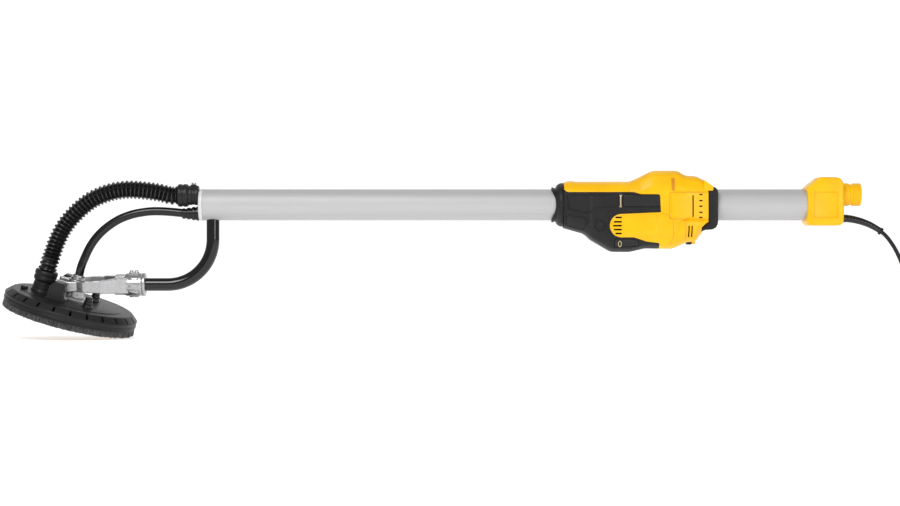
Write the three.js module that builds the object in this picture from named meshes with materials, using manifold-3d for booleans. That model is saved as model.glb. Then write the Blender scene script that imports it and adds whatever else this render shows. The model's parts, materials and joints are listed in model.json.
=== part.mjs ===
// Pole drywall sander: a corded motor on a two-piece pole, with a gimballed sanding head at the front.
// Millimetres, +Z up. The pole lies along X with the head at -X, and the head's brush skirt touches z = 0.
// The origin is the middle of the tool's own box, at floor height.
import * as THREE from "three";
import { mergeVertices } from "three/addons/utils/BufferGeometryUtils.js";
import Module from "manifold-3d";

const wasm = await Module();
wasm.setup();

// ---- Driving dimensions ----
const gap = 0.3; // clearance between pieces that touch

const poleZ = 240; // height of the pole's axis
const poleR = 28;
const poleWall = 2;
const poleFront = -411;
const frontTubeEnd = 262;
const rearTubeStart = 486;
const rearTubeEnd = 700;
const poleY = -4.9; // the pole's axis stands aside of the origin because the head hangs a little askew

const swivelRest = THREE.MathUtils.degToRad(6.25); // how the head lies at rest, about the neck
const tiltRest = THREE.MathUtils.degToRad(14.89); // and about the fork's pins
const swivelX = -535; // middle of the fork's collar
const pivotX = -664.5; // the fork's pins
const pivotBack = 25; // the pins stand this far in front of the spin axis
const pivotUp = 59.33; // and this far above the face of the brush skirt

const skirtR = 120;
const skirtH = 15;
const shroudR = 121;
const shroudTop = 36.4;
const shroudWall = 3.4;
const discR = 112.5; // a 225 mm sanding disc
const cuffX = -57.5; // the dust outlet on the shroud, in the head's own frame
const bracketTop = 75;
const nutTop = 84;

const neckR = 11.7;
const neckX = -393.5;
const neckBend = 81;

const hoseR = 16.3;
const hoseBore = 13;
const casingR = 7.7;
const casingBore = 4.6;
const coreR = 3.3;
const shaftZ = 222.5; // the drive shaft's axis inside the pole
const ductZ = 252.3; // the dust duct's axis inside the pole
const ductR = 12.4;
const ductWall = 1.4;

const housingStart = 236.8;
const housingEnd = 494;
const housingWall = 3;
const splitHalf = 0.15; // half of the seam between the two housing halves
const squareness = 3; // exponent of the housing's rounded cross-section

const gearModule = 0.8;
const pinionTeeth = 7;
const gearTeeth = 40;
const gearSpacing = 18.95; // from the armature's axis up to the drive shaft's
const motorZ = shaftZ - gearSpacing;

const capFront = 668.5;
const capEnd = 741.6;
const portEnd = 771.4;
const portZ = 258.4;
const cordExitZ = 215.5;
const cordR = 3.6;

// The head's lowest point touches the floor, and that sets the height of the neck's lower end.
const upZ = Math.cos(swivelRest) * Math.cos(tiltRest);
const alongZ = -Math.cos(swivelRest) * Math.sin(tiltRest);
const swivelZ = pivotUp * upZ - pivotBack * alongZ + skirtR * Math.sqrt(1 - upZ * upZ);

// ---- Shapes ----
function vector(point) {
  return new THREE.Vector3(...point);
}

// A closed three.js geometry as a manifold solid with its faces turned outwards.
function solid(geometry) {
  geometry.deleteAttribute("normal");
  geometry.deleteAttribute("uv");
  const merged = mergeVertices(geometry, 1e-4);
  const order = [];
  for (let i = 0; i < merged.index.count; i += 3) {
    const [a, b, c] = [0, 1, 2].map((k) => merged.index.getX(i + k));
    if (a !== b && b !== c && c !== a) order.push(a, b, c);
  }
  const vertProperties = merged.attributes.position.array;
  const build = (corners) =>
    new wasm.Manifold(new wasm.Mesh({ numProp: 3, vertProperties, triVerts: new Uint32Array(corners) }));
  const made = build(order);
  return made.volume() > 0 ? made : build(order.reverse());
}

function join(...solids) {
  return solids.reduce((sum, one) => sum.add(one));
}

function cut(body, ...tools) {
  return tools.reduce((left, one) => left.subtract(one), body);
}

function box(x0, x1, y0, y1, z0, z1) {
  const geometry = new THREE.BoxGeometry(x1 - x0, y1 - y0, z1 - z0);
  return solid(geometry.translate((x0 + x1) / 2, (y0 + y1) / 2, (z0 + z1) / 2));
}

// A solid of revolution from [radius, height] points, its axis along X, Y or Z and through a point.
function turned(axis, profile, through = [0, 0, 0], sides = 24) {
  const geometry = new THREE.LatheGeometry(profile.map(([r, h]) => new THREE.Vector2(r, h)), sides);
  if (axis === "x") geometry.rotateZ(-Math.PI / 2);
  if (axis === "z") geometry.rotateX(Math.PI / 2);
  return solid(geometry.translate(...through));
}

function rod(axis, radius, from, to, through = [0, 0, 0], sides = 16) {
  const profile = [[0, from], [radius, from], [radius, to], [0, to]];
  return turned(axis, profile, through, sides);
}

function pipe(axis, outer, inner, from, to, through = [0, 0, 0], sides = 24) {
  const profile = [[inner, from], [outer, from], [outer, to], [inner, to], [inner, from]];
  return turned(axis, profile, through, sides);
}

function outlineShape(points) {
  return new THREE.Shape(points.map(([u, v]) => new THREE.Vector2(u, v)));
}

// An outline of [x, z] points made solid from y0 to y1, its edges rounded by bevel.
function sideSlab(points, y0, y1, bevel = 0) {
  const geometry = new THREE.ExtrudeGeometry(outlineShape(points), {
    depth: y1 - y0 - 2 * bevel,
    bevelEnabled: bevel > 0,
    bevelSize: bevel,
    bevelThickness: bevel,
    bevelOffset: -bevel,
    bevelSegments: 1,
  });
  return solid(geometry.rotateX(Math.PI / 2).translate(0, y1 - bevel, 0));
}

// An outline of [x, y] points made solid from z0 to z1.
function planSlab(points, z0, z1) {
  const geometry = new THREE.ExtrudeGeometry(outlineShape(points), { depth: z1 - z0, bevelEnabled: false });
  return solid(geometry.translate(0, 0, z0));
}

function ringOutline(radius, sides) {
  const turn = (2 * Math.PI) / sides;
  return Array.from({ length: sides }, (_, i) => [radius * Math.cos(i * turn), radius * Math.sin(i * turn)]);
}

// A round bar along a curve.
function bar(path, radius, sides, steps) {
  const section = outlineShape(ringOutline(radius, sides));
  return solid(new THREE.ExtrudeGeometry(section, { steps, bevelEnabled: false, extrudePath: path }));
}

function curveThrough(points) {
  return new THREE.CatmullRomCurve3(points.map(vector), false, "centripetal");
}

// A hollow hose along a curve. The bore's curve runs on past both ends, so that the hose stays open.
function hollowHose(points, outer, bore, sides, steps) {
  const first = vector(points[0]);
  const last = vector(points.at(-1));
  const before = first.clone().multiplyScalar(2).sub(vector(points[1]));
  const after = last.clone().multiplyScalar(2).sub(vector(points.at(-2)));
  const through = [before.toArray(), ...points, after.toArray()];
  return cut(bar(curveThrough(points), outer, sides, steps), bar(curveThrough(through), bore, 6, steps + 2));
}

// Cuts a body across at a point: the part ahead of it, along a direction, and the part behind.
function cutAcross(body, point, direction) {
  const normal = direction.clone().normalize();
  const offset = normal.dot(point);
  const back = normal.clone().negate();
  return [
    body.trimByPlane(normal.toArray(), offset + gap / 2),
    body.trimByPlane(back.toArray(), gap / 2 - offset),
  ];
}

// Height or width of a line of [x, value] points at x.
function valueAt(line, x) {
  const after = line.findIndex(([at]) => at >= x);
  if (after === 0) return line[0][1];
  if (after < 0) return line.at(-1)[1];
  const [[x0, v0], [x1, v1]] = [line[after - 1], line[after]];
  return v0 + ((v1 - v0) * (x - x0)) / (x1 - x0);
}

// A body lofted along X through rounded-box sections between a bottom line and a top line.
function lofted(stations, bottom, top, halfWidth, inset = 0, sides = 24) {
  const points = [];
  const faces = [];
  for (const x of stations) {
    const low = valueAt(bottom, x) + inset;
    const high = valueAt(top, x) - inset;
    const wide = valueAt(halfWidth, x) - inset;
    for (let i = 0; i < sides; i += 1) {
      const angle = (2 * Math.PI * i) / sides;
      const [c, s] = [Math.cos(angle), Math.sin(angle)];
      const y = wide * Math.sign(c) * Math.abs(c) ** (2 / squareness);
      const z = (low + high) / 2 + ((high - low) / 2) * Math.sign(s) * Math.abs(s) ** (2 / squareness);
      points.push(x, y, z);
    }
  }
  for (let k = 0; k + 1 < stations.length; k += 1) {
    for (let i = 0; i < sides; i += 1) {
      const [a, b] = [k * sides + i, k * sides + ((i + 1) % sides)];
      faces.push(a, b, a + sides, b, b + sides, a + sides);
    }
  }
  const lastRing = (stations.length - 1) * sides;
  for (let i = 1; i + 1 < sides; i += 1) {
    faces.push(0, i + 1, i, lastRing, lastRing + i, lastRing + i + 1);
  }
  const geometry = new THREE.BufferGeometry();
  geometry.setAttribute("position", new THREE.Float32BufferAttribute(points, 3));
  geometry.setIndex(faces);
  return solid(geometry);
}

// A spur gear about X with straight-flanked teeth; one tooth or one gap points straight down.
function spurGear(teeth, x0, x1, z, gapDown) {
  const pitchR = (gearModule * teeth) / 2;
  const [rootR, tipR] = [pitchR - 1.1 * gearModule, pitchR + 0.7 * gearModule];
  const pitch = (2 * Math.PI) / teeth;
  const points = [];
  for (let i = 0; i < teeth; i += 1) {
    const middle = (i + (gapDown ? 0.5 : 0)) * pitch;
    for (const [r, share] of [[rootR, -0.21], [tipR, -0.09], [tipR, 0.09], [rootR, 0.21]]) {
      const angle = middle + share * pitch;
      points.push([r * Math.cos(angle), r * Math.sin(angle)]);
    }
  }
  const geometry = new THREE.ExtrudeGeometry(outlineShape(points), { depth: x1 - x0, bevelEnabled: false });
  return solid(geometry.rotateY(Math.PI / 2).translate(x0, 0, z));
}

// ---- Groups: the pole, the fork that swivels on the neck, and the head that tilts in the fork ----
const sander = new THREE.Group();
const pole = new THREE.Group();
pole.position.y = poleY;
sander.add(pole);
const fork = new THREE.Group();
fork.position.set(swivelX, 0, swivelZ);
fork.rotation.x = swivelRest;
pole.add(fork);
const tilting = new THREE.Group();
tilting.position.x = pivotX - swivelX;
tilting.rotation.y = tiltRest;
fork.add(tilting);
const head = new THREE.Group(); // its origin is the middle of the brush skirt's face
head.position.set(pivotBack, 0, -pivotUp);
tilting.add(head);

function finish(color, roughness, metalness = 0) {
  return { color, roughness, metalness };
}

const satinAluminium = finish(0xd2d4d6, 0.35, 0.9);
const castAluminium = finish(0xb9babb, 0.45, 0.9);
const steel = finish(0x9a9ca0, 0.3, 1);
const copper = finish(0xb5703a, 0.4, 0.9);
const yellowPlastic = finish(0xffc414, 0.35);
const blackPlastic = finish(0x232426, 0.5);
const blackRubber = finish(0x1a1a1b, 0.7);
const blackPaint = finish(0x0c0c0d, 0.15);
const greyPlastic = finish(0x6e7074, 0.6);
const bristle = finish(0x161617, 0.9);
const foam = finish(0x3a3d40, 0.95);
const grit = finish(0xa47c52, 0.95);

// Adds one named piece to a group.
function piece(group, name, look, body) {
  const found = body.getMesh();
  const geometry = new THREE.BufferGeometry();
  const position = new Float32Array(found.numVert * 3);
  for (let i = 0; i < found.numVert; i += 1) {
    position.set(found.vertProperties.subarray(i * found.numProp, i * found.numProp + 3), i * 3);
  }
  geometry.setAttribute("position", new THREE.BufferAttribute(position, 3));
  geometry.setIndex(new THREE.BufferAttribute(found.triVerts, 1));
  geometry.computeVertexNormals();
  const mesh = new THREE.Mesh(geometry, new THREE.MeshStandardMaterial(look));
  mesh.name = name;
  group.add(mesh);
}

const onPole = [0, 0, poleZ];
const onDuct = [0, 0, ductZ];
const onShaft = [0, 0, shaftZ];
const onMotor = [0, 0, motorZ];

// ---- Pole: two tubes, the front end plug, the dust duct and the straight part of the shaft casing ----
const plugFace = -418.2;
const plugEnd = -406.5;
const neckHole = rod("z", neckR + gap, poleZ - poleR - 3, poleZ - 15, [neckX, 0, 0]);
const frontTube = pipe("x", poleR, poleR - poleWall, poleFront, frontTubeEnd, onPole, 28);
piece(pole, "front_tube", satinAluminium, cut(frontTube, neckHole));
const rearTube = pipe("x", poleR, poleR - poleWall, rearTubeStart, rearTubeEnd, onPole, 28);
piece(pole, "rear_tube", satinAluminium, rearTube);

const endPlug = turned("x", [
  [0, plugFace], [26.8, plugFace], [28.8, plugFace + 2], [28.8, poleFront - gap],
  [25.7, poleFront - gap], [25.7, plugEnd], [0, plugEnd],
], onPole, 28);
const plugHoles = [
  rod("x", ductR + gap, plugFace - 1, plugEnd + 1, onDuct),
  rod("x", casingR + gap, plugFace - 1, plugEnd + 1, onShaft),
];
piece(pole, "pole_front_plug", greyPlastic, cut(endPlug, ...plugHoles));

const ductJoint = 250; // the front and rear ducts meet inside the motor housing
const ductRear = 712;
const duct = (from, to) => pipe("x", ductR, ductR - ductWall, from, to, onDuct, 20);
piece(pole, "front_dust_duct", greyPlastic, duct(plugFace + 1, ductJoint));
piece(pole, "rear_dust_duct", greyPlastic, duct(ductJoint + gap, ductRear));
const casingRear = 276;
const straightCasing = pipe("x", casingR, casingBore, plugFace + 1, casingRear, onShaft, 16);
piece(pole, "straight_shaft_casing", blackRubber, straightCasing);

// ---- Neck: a bent tube from the pole's underside to the fork ----
const neckTop = poleZ - poleR + poleWall;
const neckEnd = -546;
const bendZ = swivelZ + neckBend;

function neckPath(top, end) {
  const path = new THREE.CurvePath();
  const turnStart = vector([neckX, 0, bendZ]);
  const turnEnd = vector([neckX - neckBend, 0, swivelZ]);
  const bendSteps = 10;
  path.add(new THREE.LineCurve3(vector([neckX, 0, top]), turnStart));
  let from = turnStart;
  for (let i = 1; i <= bendSteps; i += 1) {
    const angle = ((Math.PI / 2) * i) / bendSteps;
    const x = neckX - neckBend + neckBend * Math.cos(angle);
    const to = i === bendSteps ? turnEnd : vector([x, 0, bendZ - neckBend * Math.sin(angle)]);
    path.add(new THREE.LineCurve3(from, to));
    from = to;
  }
  path.add(new THREE.LineCurve3(turnEnd, vector([end, 0, swivelZ])));
  return path;
}

const neckSteps = 15;
const neckSolid = bar(neckPath(neckTop, neckEnd), neckR, 14, neckSteps);
const neckBore = bar(neckPath(neckTop + 2, neckEnd - 2), neckR - 2.2, 8, neckSteps);
piece(pole, "neck_tube", blackPaint, cut(neckSolid, neckBore));

// ---- Fork: a cast yoke that turns on the neck's end, and the pins the head tilts on ----
const collarR = 20.5;
const collarFront = -15;
const collarRear = 16;
const armOuter = 40;
const armInner = 31;
const pinR = 5;
const pinInner = 21;
const pinOuter = 60;
const atPins = pivotX - swivelX;

function forkCasting() {
  const yoke = [
    [-10, -17], [-30, -30], [-54, -45], [-86, -45], [-98, -armOuter], [atPins - 10, -armOuter],
    [atPins - 10, -armInner], [-93, -armInner], [-84, -36.5], [-58, -36.5], [-42, -24], [-32, -10],
  ];
  const otherSide = yoke.map(([x, y]) => [x, -y]).reverse();
  const plan = planSlab([...yoke, ...otherSide], -20, 20);
  const halfSide = [[0, 15], [-22, 14], [-55, 11.5], [-98, 8.8], [atPins + 2, 8.8], [atPins - 8, 5]];
  const mirrored = halfSide.map(([x, z]) => [x, -z]).reverse();
  const side = sideSlab([...halfSide, ...mirrored], -60, 60);
  const collar = turned("x", [
    [0, collarFront - 6], [collarR - 5, collarFront - 6],
    [collarR - 1, collarFront], [collarR, collarFront + 2],
    [collarR, collarRear - 2], [collarR - 1.5, collarRear], [0, collarRear],
  ]);
  const bosses = [4.5, -4.5].map((x) => rod("z", 4.2, -23, 23, [x, 0, 0], 12));
  const ribs = [-9, 0, 9].map((y) => box(-34, -6, y - 1.5, y + 1.5, -17.5, 17.5));
  const body = join(plan.intersect(side), collar, bosses[0], bosses[1], ...ribs);
  const bore = rod("x", neckR + gap, neckEnd - swivelX - 1, collarRear + 1);
  const pinBore = rod("y", pinR + gap, -60, 60, [atPins, 0, 0]);
  return cut(body, bore, pinBore);
}

piece(fork, "fork_casting", castAluminium, forkCasting());
for (const [name, side] of [["pivot_pin_near", -1], ["pivot_pin_far", 1]]) {
  const [from, to] = side < 0 ? [-pinOuter, -pinInner] : [pinInner, pinOuter];
  piece(fork, name, steel, rod("y", pinR, from, to, [atPins, 0, 0], 16));
}

// ---- Head: shroud, brush skirt, spindle bracket, pivot blocks, bumpers and the dust cuff ----
const cuffAt = [cuffX, 0, 0];
const bracketHole = 15;

function shroud() {
  const roof = shroudTop - shroudWall;
  const shell = turned("z", [
    [0, roof], [shroudR - 14.5, roof], [shroudR - 4.5, 24.6], [shroudR - 4.5, skirtH + gap],
    [shroudR, skirtH + gap], [shroudR, 25.6], [shroudR - 12, shroudTop], [0, shroudTop],
  ], [0, 0, 0], 48);
  const outlet = rod("z", hoseBore, roof - 1, shroudTop + 1, cuffAt);
  return cut(shell, outlet, rod("z", bracketHole, roof - 1, shroudTop + 1));
}

piece(head, "shroud", blackPlastic, shroud());
piece(head, "brush_skirt", bristle, pipe("z", skirtR, skirtR - 6, 0, skirtH, [0, 0, 0], 48));

const bearingR = 11;
const spindleR = 5;
const earOuter = armInner - 1.2;
const earInner = 18;

function spindleBracket() {
  const foot = shroudTop + gap;
  const base = box(-34, 32, -26, 26, foot, foot + 7);
  const tower = turned("z", [[0, foot], [20, foot], [17, foot + 22], [16, bracketTop], [0, bracketTop]]);
  const nose = rod("z", bracketHole - gap, shroudTop - shroudWall - 6, foot + 1);
  const ears = [-1, 1].map((side) => {
    const [y0, y1] = side < 0 ? [-earOuter, -earInner] : [earInner, earOuter];
    return sideSlab([[-38, foot], [-10, foot], [-15, 70], [-35, 70]], y0, y1, 1);
  });
  const body = join(base, tower, nose, ...ears);
  const shaftBore = rod("z", spindleR + gap, 20, 90);
  const bearingSeat = rod("z", bearingR + gap, 20, 44);
  const pinBore = rod("y", pinR + gap, -60, 60, [-pivotBack, 0, pivotUp]);
  return cut(body, shaftBore, bearingSeat, pinBore);
}

piece(head, "spindle_bracket", castAluminium, spindleBracket());
piece(head, "spindle_bearing", steel, pipe("z", bearingR, spindleR + gap, 30, 43, [0, 0, 0], 20));
const nutProfile = [
  [casingR + gap, bracketTop + gap], [13, bracketTop + gap], [13, 79], [10.5, 80.5], [10.5, nutTop],
  [casingR + gap, nutTop], [casingR + gap, bracketTop + gap],
];
piece(head, "shaft_nut", steel, turned("z", nutProfile, [0, 0, 0], 24));

const cuffTop = 77;
const cuffStep = 57;
const cuffProfile = [
  [hoseBore, shroudTop + gap], [20, shroudTop + gap],
  [18, shroudTop + 4], [18, cuffStep], [20.5, cuffStep + 2],
  [20.5, cuffTop], [hoseBore, cuffTop], [hoseBore, shroudTop + gap],
];
piece(head, "lower_hose_cuff", blackRubber, turned("z", cuffProfile, cuffAt, 20));

const blockInner = armOuter + 1.5;
const blockOuter = 68;
for (const [name, side] of [["pivot_block_near", -1], ["pivot_block_far", 1]]) {
  const [y0, y1] = side < 0 ? [-blockOuter, -blockInner] : [blockInner, blockOuter];
  const foot = shroudTop + gap;
  const outline = [[-39, foot], [-11, foot], [-11, 65], [-14, 70], [-36, 70], [-39, 65]];
  const pinBore = rod("y", pinR + gap, -pinOuter - 1, pinOuter + 1, [-pivotBack, 0, pivotUp]);
  piece(head, name, blackPlastic, cut(sideSlab(outline, y0, y1, 2), pinBore));
}
for (const [name, y] of [["bumper_near", -45], ["bumper_far", 45]]) {
  const foot = shroudTop + gap;
  const profile = [[0, foot], [8.5, foot], [8.5, 50], [7, 52], [7, 55], [5.5, 56.5], [0, 56.5]];
  piece(head, name, blackRubber, turned("z", profile, [33, y, 0], 20));
}

// ---- Sanding pad: spindle, backing plate, foam and abrasive disc ----
const discFace = 0.5;
const foamBottom = 2;
const plateBottom = 14;
const plateTop = 19;
const spindleTop = 73;
const spindleProfile = [
  [0, plateTop + gap], [14, plateTop + gap], [14, plateTop + 6],
  [spindleR, plateTop + 8], [spindleR, spindleTop],
  [0, spindleTop],
];
piece(head, "pad_spindle", steel, turned("z", spindleProfile, [0, 0, 0], 24));
const plateProfile = [[0, plateBottom], [108, plateBottom], [108, 16], [60, plateTop], [0, plateTop]];
piece(head, "backing_plate", blackPlastic, turned("z", plateProfile, [0, 0, 0], 48));
piece(head, "foam_pad", foam, rod("z", discR - 1, foamBottom, plateBottom - gap, [0, 0, 0], 48));
piece(head, "abrasive_disc", grit, rod("z", discR, discFace, foamBottom - gap, [0, 0, 0], 48));

// ---- Dust hose and drive shaft casing: bent runs from the pole's front to the head ----
// Where a point of the head's own frame lies in the pole's frame at rest.
function fromHead(x, y, z) {
  sander.updateMatrixWorld(true);
  return pole.worldToLocal(head.localToWorld(new THREE.Vector3(x, y, z))).toArray();
}

const hoseStart = -456.6;
const hoseRoute = [
  [hoseStart - gap, 0, 257], [-468, 0, 257.1], [-489, 0, 261.8],
  [-518, 0, 265.9], [-546.5, 0, 267.4], [-568, 0, 265],
  [-582.5, 0, 261.4], [-597, 0, 256], [-611.3, 0, 248.8], [-625.7, 0, 238.4], [-640, 0, 225.4],
  [-654.5, 0, 209.2], [-665.3, 0, 193], [-675.5, 0, 171.4], [-683.5, -1, 149],
  fromHead(cuffX, 0, cuffTop + 12), fromHead(cuffX, 0, cuffTop + gap),
];
const hoseSplit = 8; // the upper and lower lengths meet at this point of the route

// The hose's lengths above and below a point of its route.
function upperAndLower(route, splitAt, outer, bore, sides, steps) {
  const ahead = vector(route[splitAt - 1]).sub(vector(route[splitAt + 1]));
  return cutAcross(hollowHose(route, outer, bore, sides, steps), vector(route[splitAt]), ahead);
}

const [upperHose, lowerHose] = upperAndLower(hoseRoute, hoseSplit, hoseR, hoseBore, 10, 24);
piece(pole, "dust_hose_upper", blackRubber, upperHose);
piece(pole, "dust_hose_lower", blackRubber, lowerHose);

const casingStart = plugFace - gap;
const casingRoute = [
  [casingStart, 0, 224.3], [-436, 0, 224.4], [-451, 0, 225.6], [-467.3, 0, 227.2], [-489, 0, 228.5],
  [-507, 0, 228.2], [-532, 0, 224.5], [-546.5, 0, 220.4], [-561, 0, 214.6], [-575.3, 0, 206.2],
  [-589.7, 0, 195.2], [-604, 0, 180.4], [-615, 0, 164.2], [-622.6, -0.5, 148.5],
  fromHead(0, 0, nutTop + 16), fromHead(0, 0, nutTop + gap),
];
const casingSplit = 9;
const [upperCasing, lowerCasing] = upperAndLower(casingRoute, casingSplit, casingR, casingBore, 8, 24);
piece(pole, "shaft_casing_upper", blackRubber, upperCasing);
piece(pole, "shaft_casing_lower", blackRubber, lowerCasing);

const cuffPoleEnd = plugFace - gap;
const upperCuffProfile = [
  [hoseBore, hoseStart + gap], [20.5, hoseStart + gap], [20.5, -438], [17.5, -436], [17.5, cuffPoleEnd],
  [hoseBore, cuffPoleEnd], [hoseBore, hoseStart + gap],
];
const clampScrew = rod("z", 2.6, 12, 23, [-428, 0, 257]);
const upperCuff = join(
  turned("x", upperCuffProfile, [0, 0, 257], 20),
  cut(clampScrew, rod("x", 15, -440, -415, [0, 0, 257])),
);
piece(pole, "upper_hose_cuff", blackRubber, upperCuff);

function shaftBoot() {
  const points = [[casingR + 1.6, -449]];
  const ribs = 3;
  const ribPitch = 9;
  for (let i = 0; i < ribs; i += 1) {
    const x = -447 + i * ribPitch;
    const grow = i * 1.1;
    points.push([9.5 + grow, x], [11 + grow, x + 2], [11 + grow, x + 5], [9.5 + grow, x + 7]);
  }
  points.push([12.6, cuffPoleEnd], [casingR + 1.6, cuffPoleEnd], [casingR + 1.6, -449]);
  return turned("x", points, [0, 0, 224.3], 16);
}

piece(pole, "shaft_boot", blackRubber, shaftBoot());

// ---- Motor housing: two yellow halves, two black grip covers, a front collar and a rear ring ----
const housingTop = [
  [200, 279.4], [236, 279.4], [247, 283], [258, 281.2], [354, 281.2], [393, 301], [442, 301], [453, 292.5],
  [474, 291], [501, 278],
];
const housingBottom = [
  [200, 198.5], [236, 198.5], [274, 187.6], [285, 177],
  [307, 164.2], [320, 155.2], [361, 155.2], [382, 162.4],
  [431, 160.6], [447, 167.8], [457, 173], [474, 173.2], [481, 187], [501, 194.5],
];
const housingHalfWidth = [[200, 38.5], [258, 41], [317, 44], [393, 46], [442, 46], [474, 41], [501, 38]];
const housingStations = [
  housingStart, 247, 258, 274, 285, 307, 320, 356, 393, 436, 453, 474, 481, housingEnd,
];
const innerStations = [housingStart - 5, ...housingStations.slice(1, -1), housingEnd + 5];
const outerBody = lofted(housingStations, housingBottom, housingTop, housingHalfWidth);
const innerBody = lofted(innerStations, housingBottom, housingTop, housingHalfWidth, housingWall);

// The black grip's edge: under the top band, round the tail of the upper pad, round the vented nose and
// under the tail of the lower pad. A positive margin makes the outline smaller all round.
function gripOutline(margin) {
  const [bandZ, tailTopZ] = [263.4 - margin, 259.3 - margin];
  const [tailEndX, tailLowZ] = [411 - margin, 226.7 + margin];
  const noseMiddleZ = 202.6;
  const noseR = 21 + margin;
  const noseX = 339;
  const nose = [];
  const noseSteps = 6;
  for (let i = 0; i <= noseSteps; i += 1) {
    const angle = Math.PI / 2 + (Math.PI * i) / noseSteps;
    nose.push([noseX + noseR * Math.cos(angle), noseMiddleZ + noseR * Math.sin(angle)]);
  }
  return [
    [220, 300], [229, 300], [231.8 - margin, 273.8], [243.7, bandZ], [364, bandZ], [377, tailTopZ],
    [tailEndX, tailTopZ], [tailEndX + 2, tailLowZ], ...nose,
    [365, 181.6 - margin], [388, 174 - margin], [tailEndX, 171.4 - margin], [tailEndX, 140], [220, 140],
  ];
}

const nearHalf = box(200, 520, -80, -splitHalf, 100, 320);
const farHalf = box(200, 520, splitHalf, 80, 100, 320);
const gripRegion = sideSlab(gripOutline(splitHalf), -80, 80);
const yellowKeepOut = sideSlab(gripOutline(-splitHalf), -80, 80);
const wallBody = cut(outerBody, innerBody);

const screwPlaces = [[266, 272.3], [372, 283], [452, 282.5], [320.5, 163.2]];
const screwSeatY = 8;
const screwDepth = 14;

// Each screw stands in a boss of its own: a blind hole in the near half, a stepped one in the far half.
function withBosses(low, wall, side) {
  const inReach = screwPlaces.filter(([, z]) => low === z < poleZ - poleR);
  let body = wall;
  for (const [x, z] of inReach) {
    const [from, to] = side < 0 ? [-60, -splitHalf] : [splitHalf, 60];
    body = join(body, rod("y", 6, from, to, [x, 0, z], 10).intersect(outerBody));
  }
  for (const [x, z] of inReach) {
    body = cut(body, rod("y", 2.3, -screwDepth - 0.5, 60, [x, 0, z], 8));
    if (side > 0) body = cut(body, rod("y", 4.5, screwSeatY, 60, [x, 0, z], 10));
  }
  return body;
}

const dialAt = [438, 0, 236];
const dialR = 15;
const dialHole = rod("y", dialR + 0.7, 20, 60, dialAt, 20);
const onPadOutline = [[342, 236.2], [404.8, 236.2], [407, 238.4], [407, 254.4], [404.8, 256.6], [342, 256.6]];
const offPadOutline = [[330, 164], [372, 166], [374, 168], [372, 175], [360, 178], [330, 178]];
const padClearance = 0.5;

// The pads' windows: each pad's outline grown by the clearance about its middle.
function grown(points, by) {
  const middleX = points.reduce((sum, [x]) => sum + x, 0) / points.length;
  const middleZ = points.reduce((sum, [, z]) => sum + z, 0) / points.length;
  return points.map(([x, z]) => [x + by * Math.sign(x - middleX), z + by * Math.sign(z - middleZ)]);
}

const nearWall = wallBody.intersect(nearHalf);
const farWall = wallBody.intersect(farHalf);
const padWindows = [onPadOutline, offPadOutline]
  .map((points) => sideSlab(grown(points, padClearance), -80, -5));
const ventSlots = [217.5, 209.5, 202.5, 195.5, 188.5].map((z) => box(324, 339, -80, -20, z - 1.2, z + 1.2));
const rearSlots = [
  box(469.5, 471.8, -80, -10, 218, 258),
  box(462, 464.2, -80, -10, 182, 203), box(467.5, 470, -80, -10, 182, 203),
];
const yellowNear = withBosses(false, cut(nearWall, yellowKeepOut), -1);
piece(pole, "housing_shell_near", yellowPlastic, cut(yellowNear, ...ventSlots, ...rearSlots));
const farShell = withBosses(false, cut(farWall, yellowKeepOut), 1);
piece(pole, "housing_shell_far", yellowPlastic, cut(farShell, dialHole));
const gripNear = withBosses(true, nearWall.intersect(gripRegion), -1);
piece(pole, "grip_cover_near", blackPlastic, cut(gripNear, ...padWindows));
piece(pole, "grip_cover_far", blackPlastic, withBosses(true, farWall.intersect(gripRegion), 1));
piece(pole, "on_pad", blackPlastic, nearWall.intersect(sideSlab(onPadOutline, -80, -5)));
piece(pole, "off_pad", blackPlastic, nearWall.intersect(sideSlab(offPadOutline, -80, -5)));

screwPlaces.forEach(([x, z], i) => {
  const head = rod("y", 4, screwSeatY + gap, screwSeatY + 3, [x, 0, z], 12);
  const shank = rod("y", 2, -screwDepth, screwSeatY + 1, [x, 0, z], 8);
  piece(pole, "housing_screw_" + (i + 1), steel, join(head, shank));
});

const collarFace = 215;
const collarBack = housingStart - gap;
const frontCollarProfile = [
  [poleR + gap, collarFace], [31.6, collarFace], [31.6, 219],
  [30.2, 222], [36.5, 226], [39, 230], [39.3, collarBack],
  [poleR + gap, collarBack], [poleR + gap, collarFace],
];
piece(pole, "front_collar", blackRubber, turned("x", frontCollarProfile, onPole, 28));

const ringStations = [housingEnd + gap, 501, 507, 512];
const ringTop = [[490, 282], [501, 277.6], [507, 273], [512, 270.6]];
const ringBottom = [[490, 194.8], [501, 194.8], [507, 198.4], [512, 204]];
const ringHalfWidth = [[490, 38.5], [501, 37.5], [507, 34.5], [512, 31]];
const rearRing = lofted(ringStations, ringBottom, ringTop, ringHalfWidth);
piece(pole, "rear_grip_ring", blackRubber, cut(rearRing, rod("x", poleR + gap, 480, 530, onPole, 28)));

// ---- Speed dial, in the far half of the housing ----
const dialProfile = [[0, 36], [dialR - 1, 36], [dialR, 37.5], [dialR, 47], [dialR - 1.5, 48.5], [0, 48.5]];
piece(pole, "speed_dial", blackPlastic, turned("y", dialProfile, dialAt, 28));

// ---- Motor: stator, armature with its commutator, fan, bearings, brushes, and the reduction gears ----
const gearX = [284, 292];
const pinionX = [282.5, 293.5];
const armatureEnd = 425;
const statorX = [325, 385];
const armatureR = 21;

piece(pole, "motor_stator", steel, pipe("x", 32.5, armatureR + 1, ...statorX, onMotor, 28));

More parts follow.
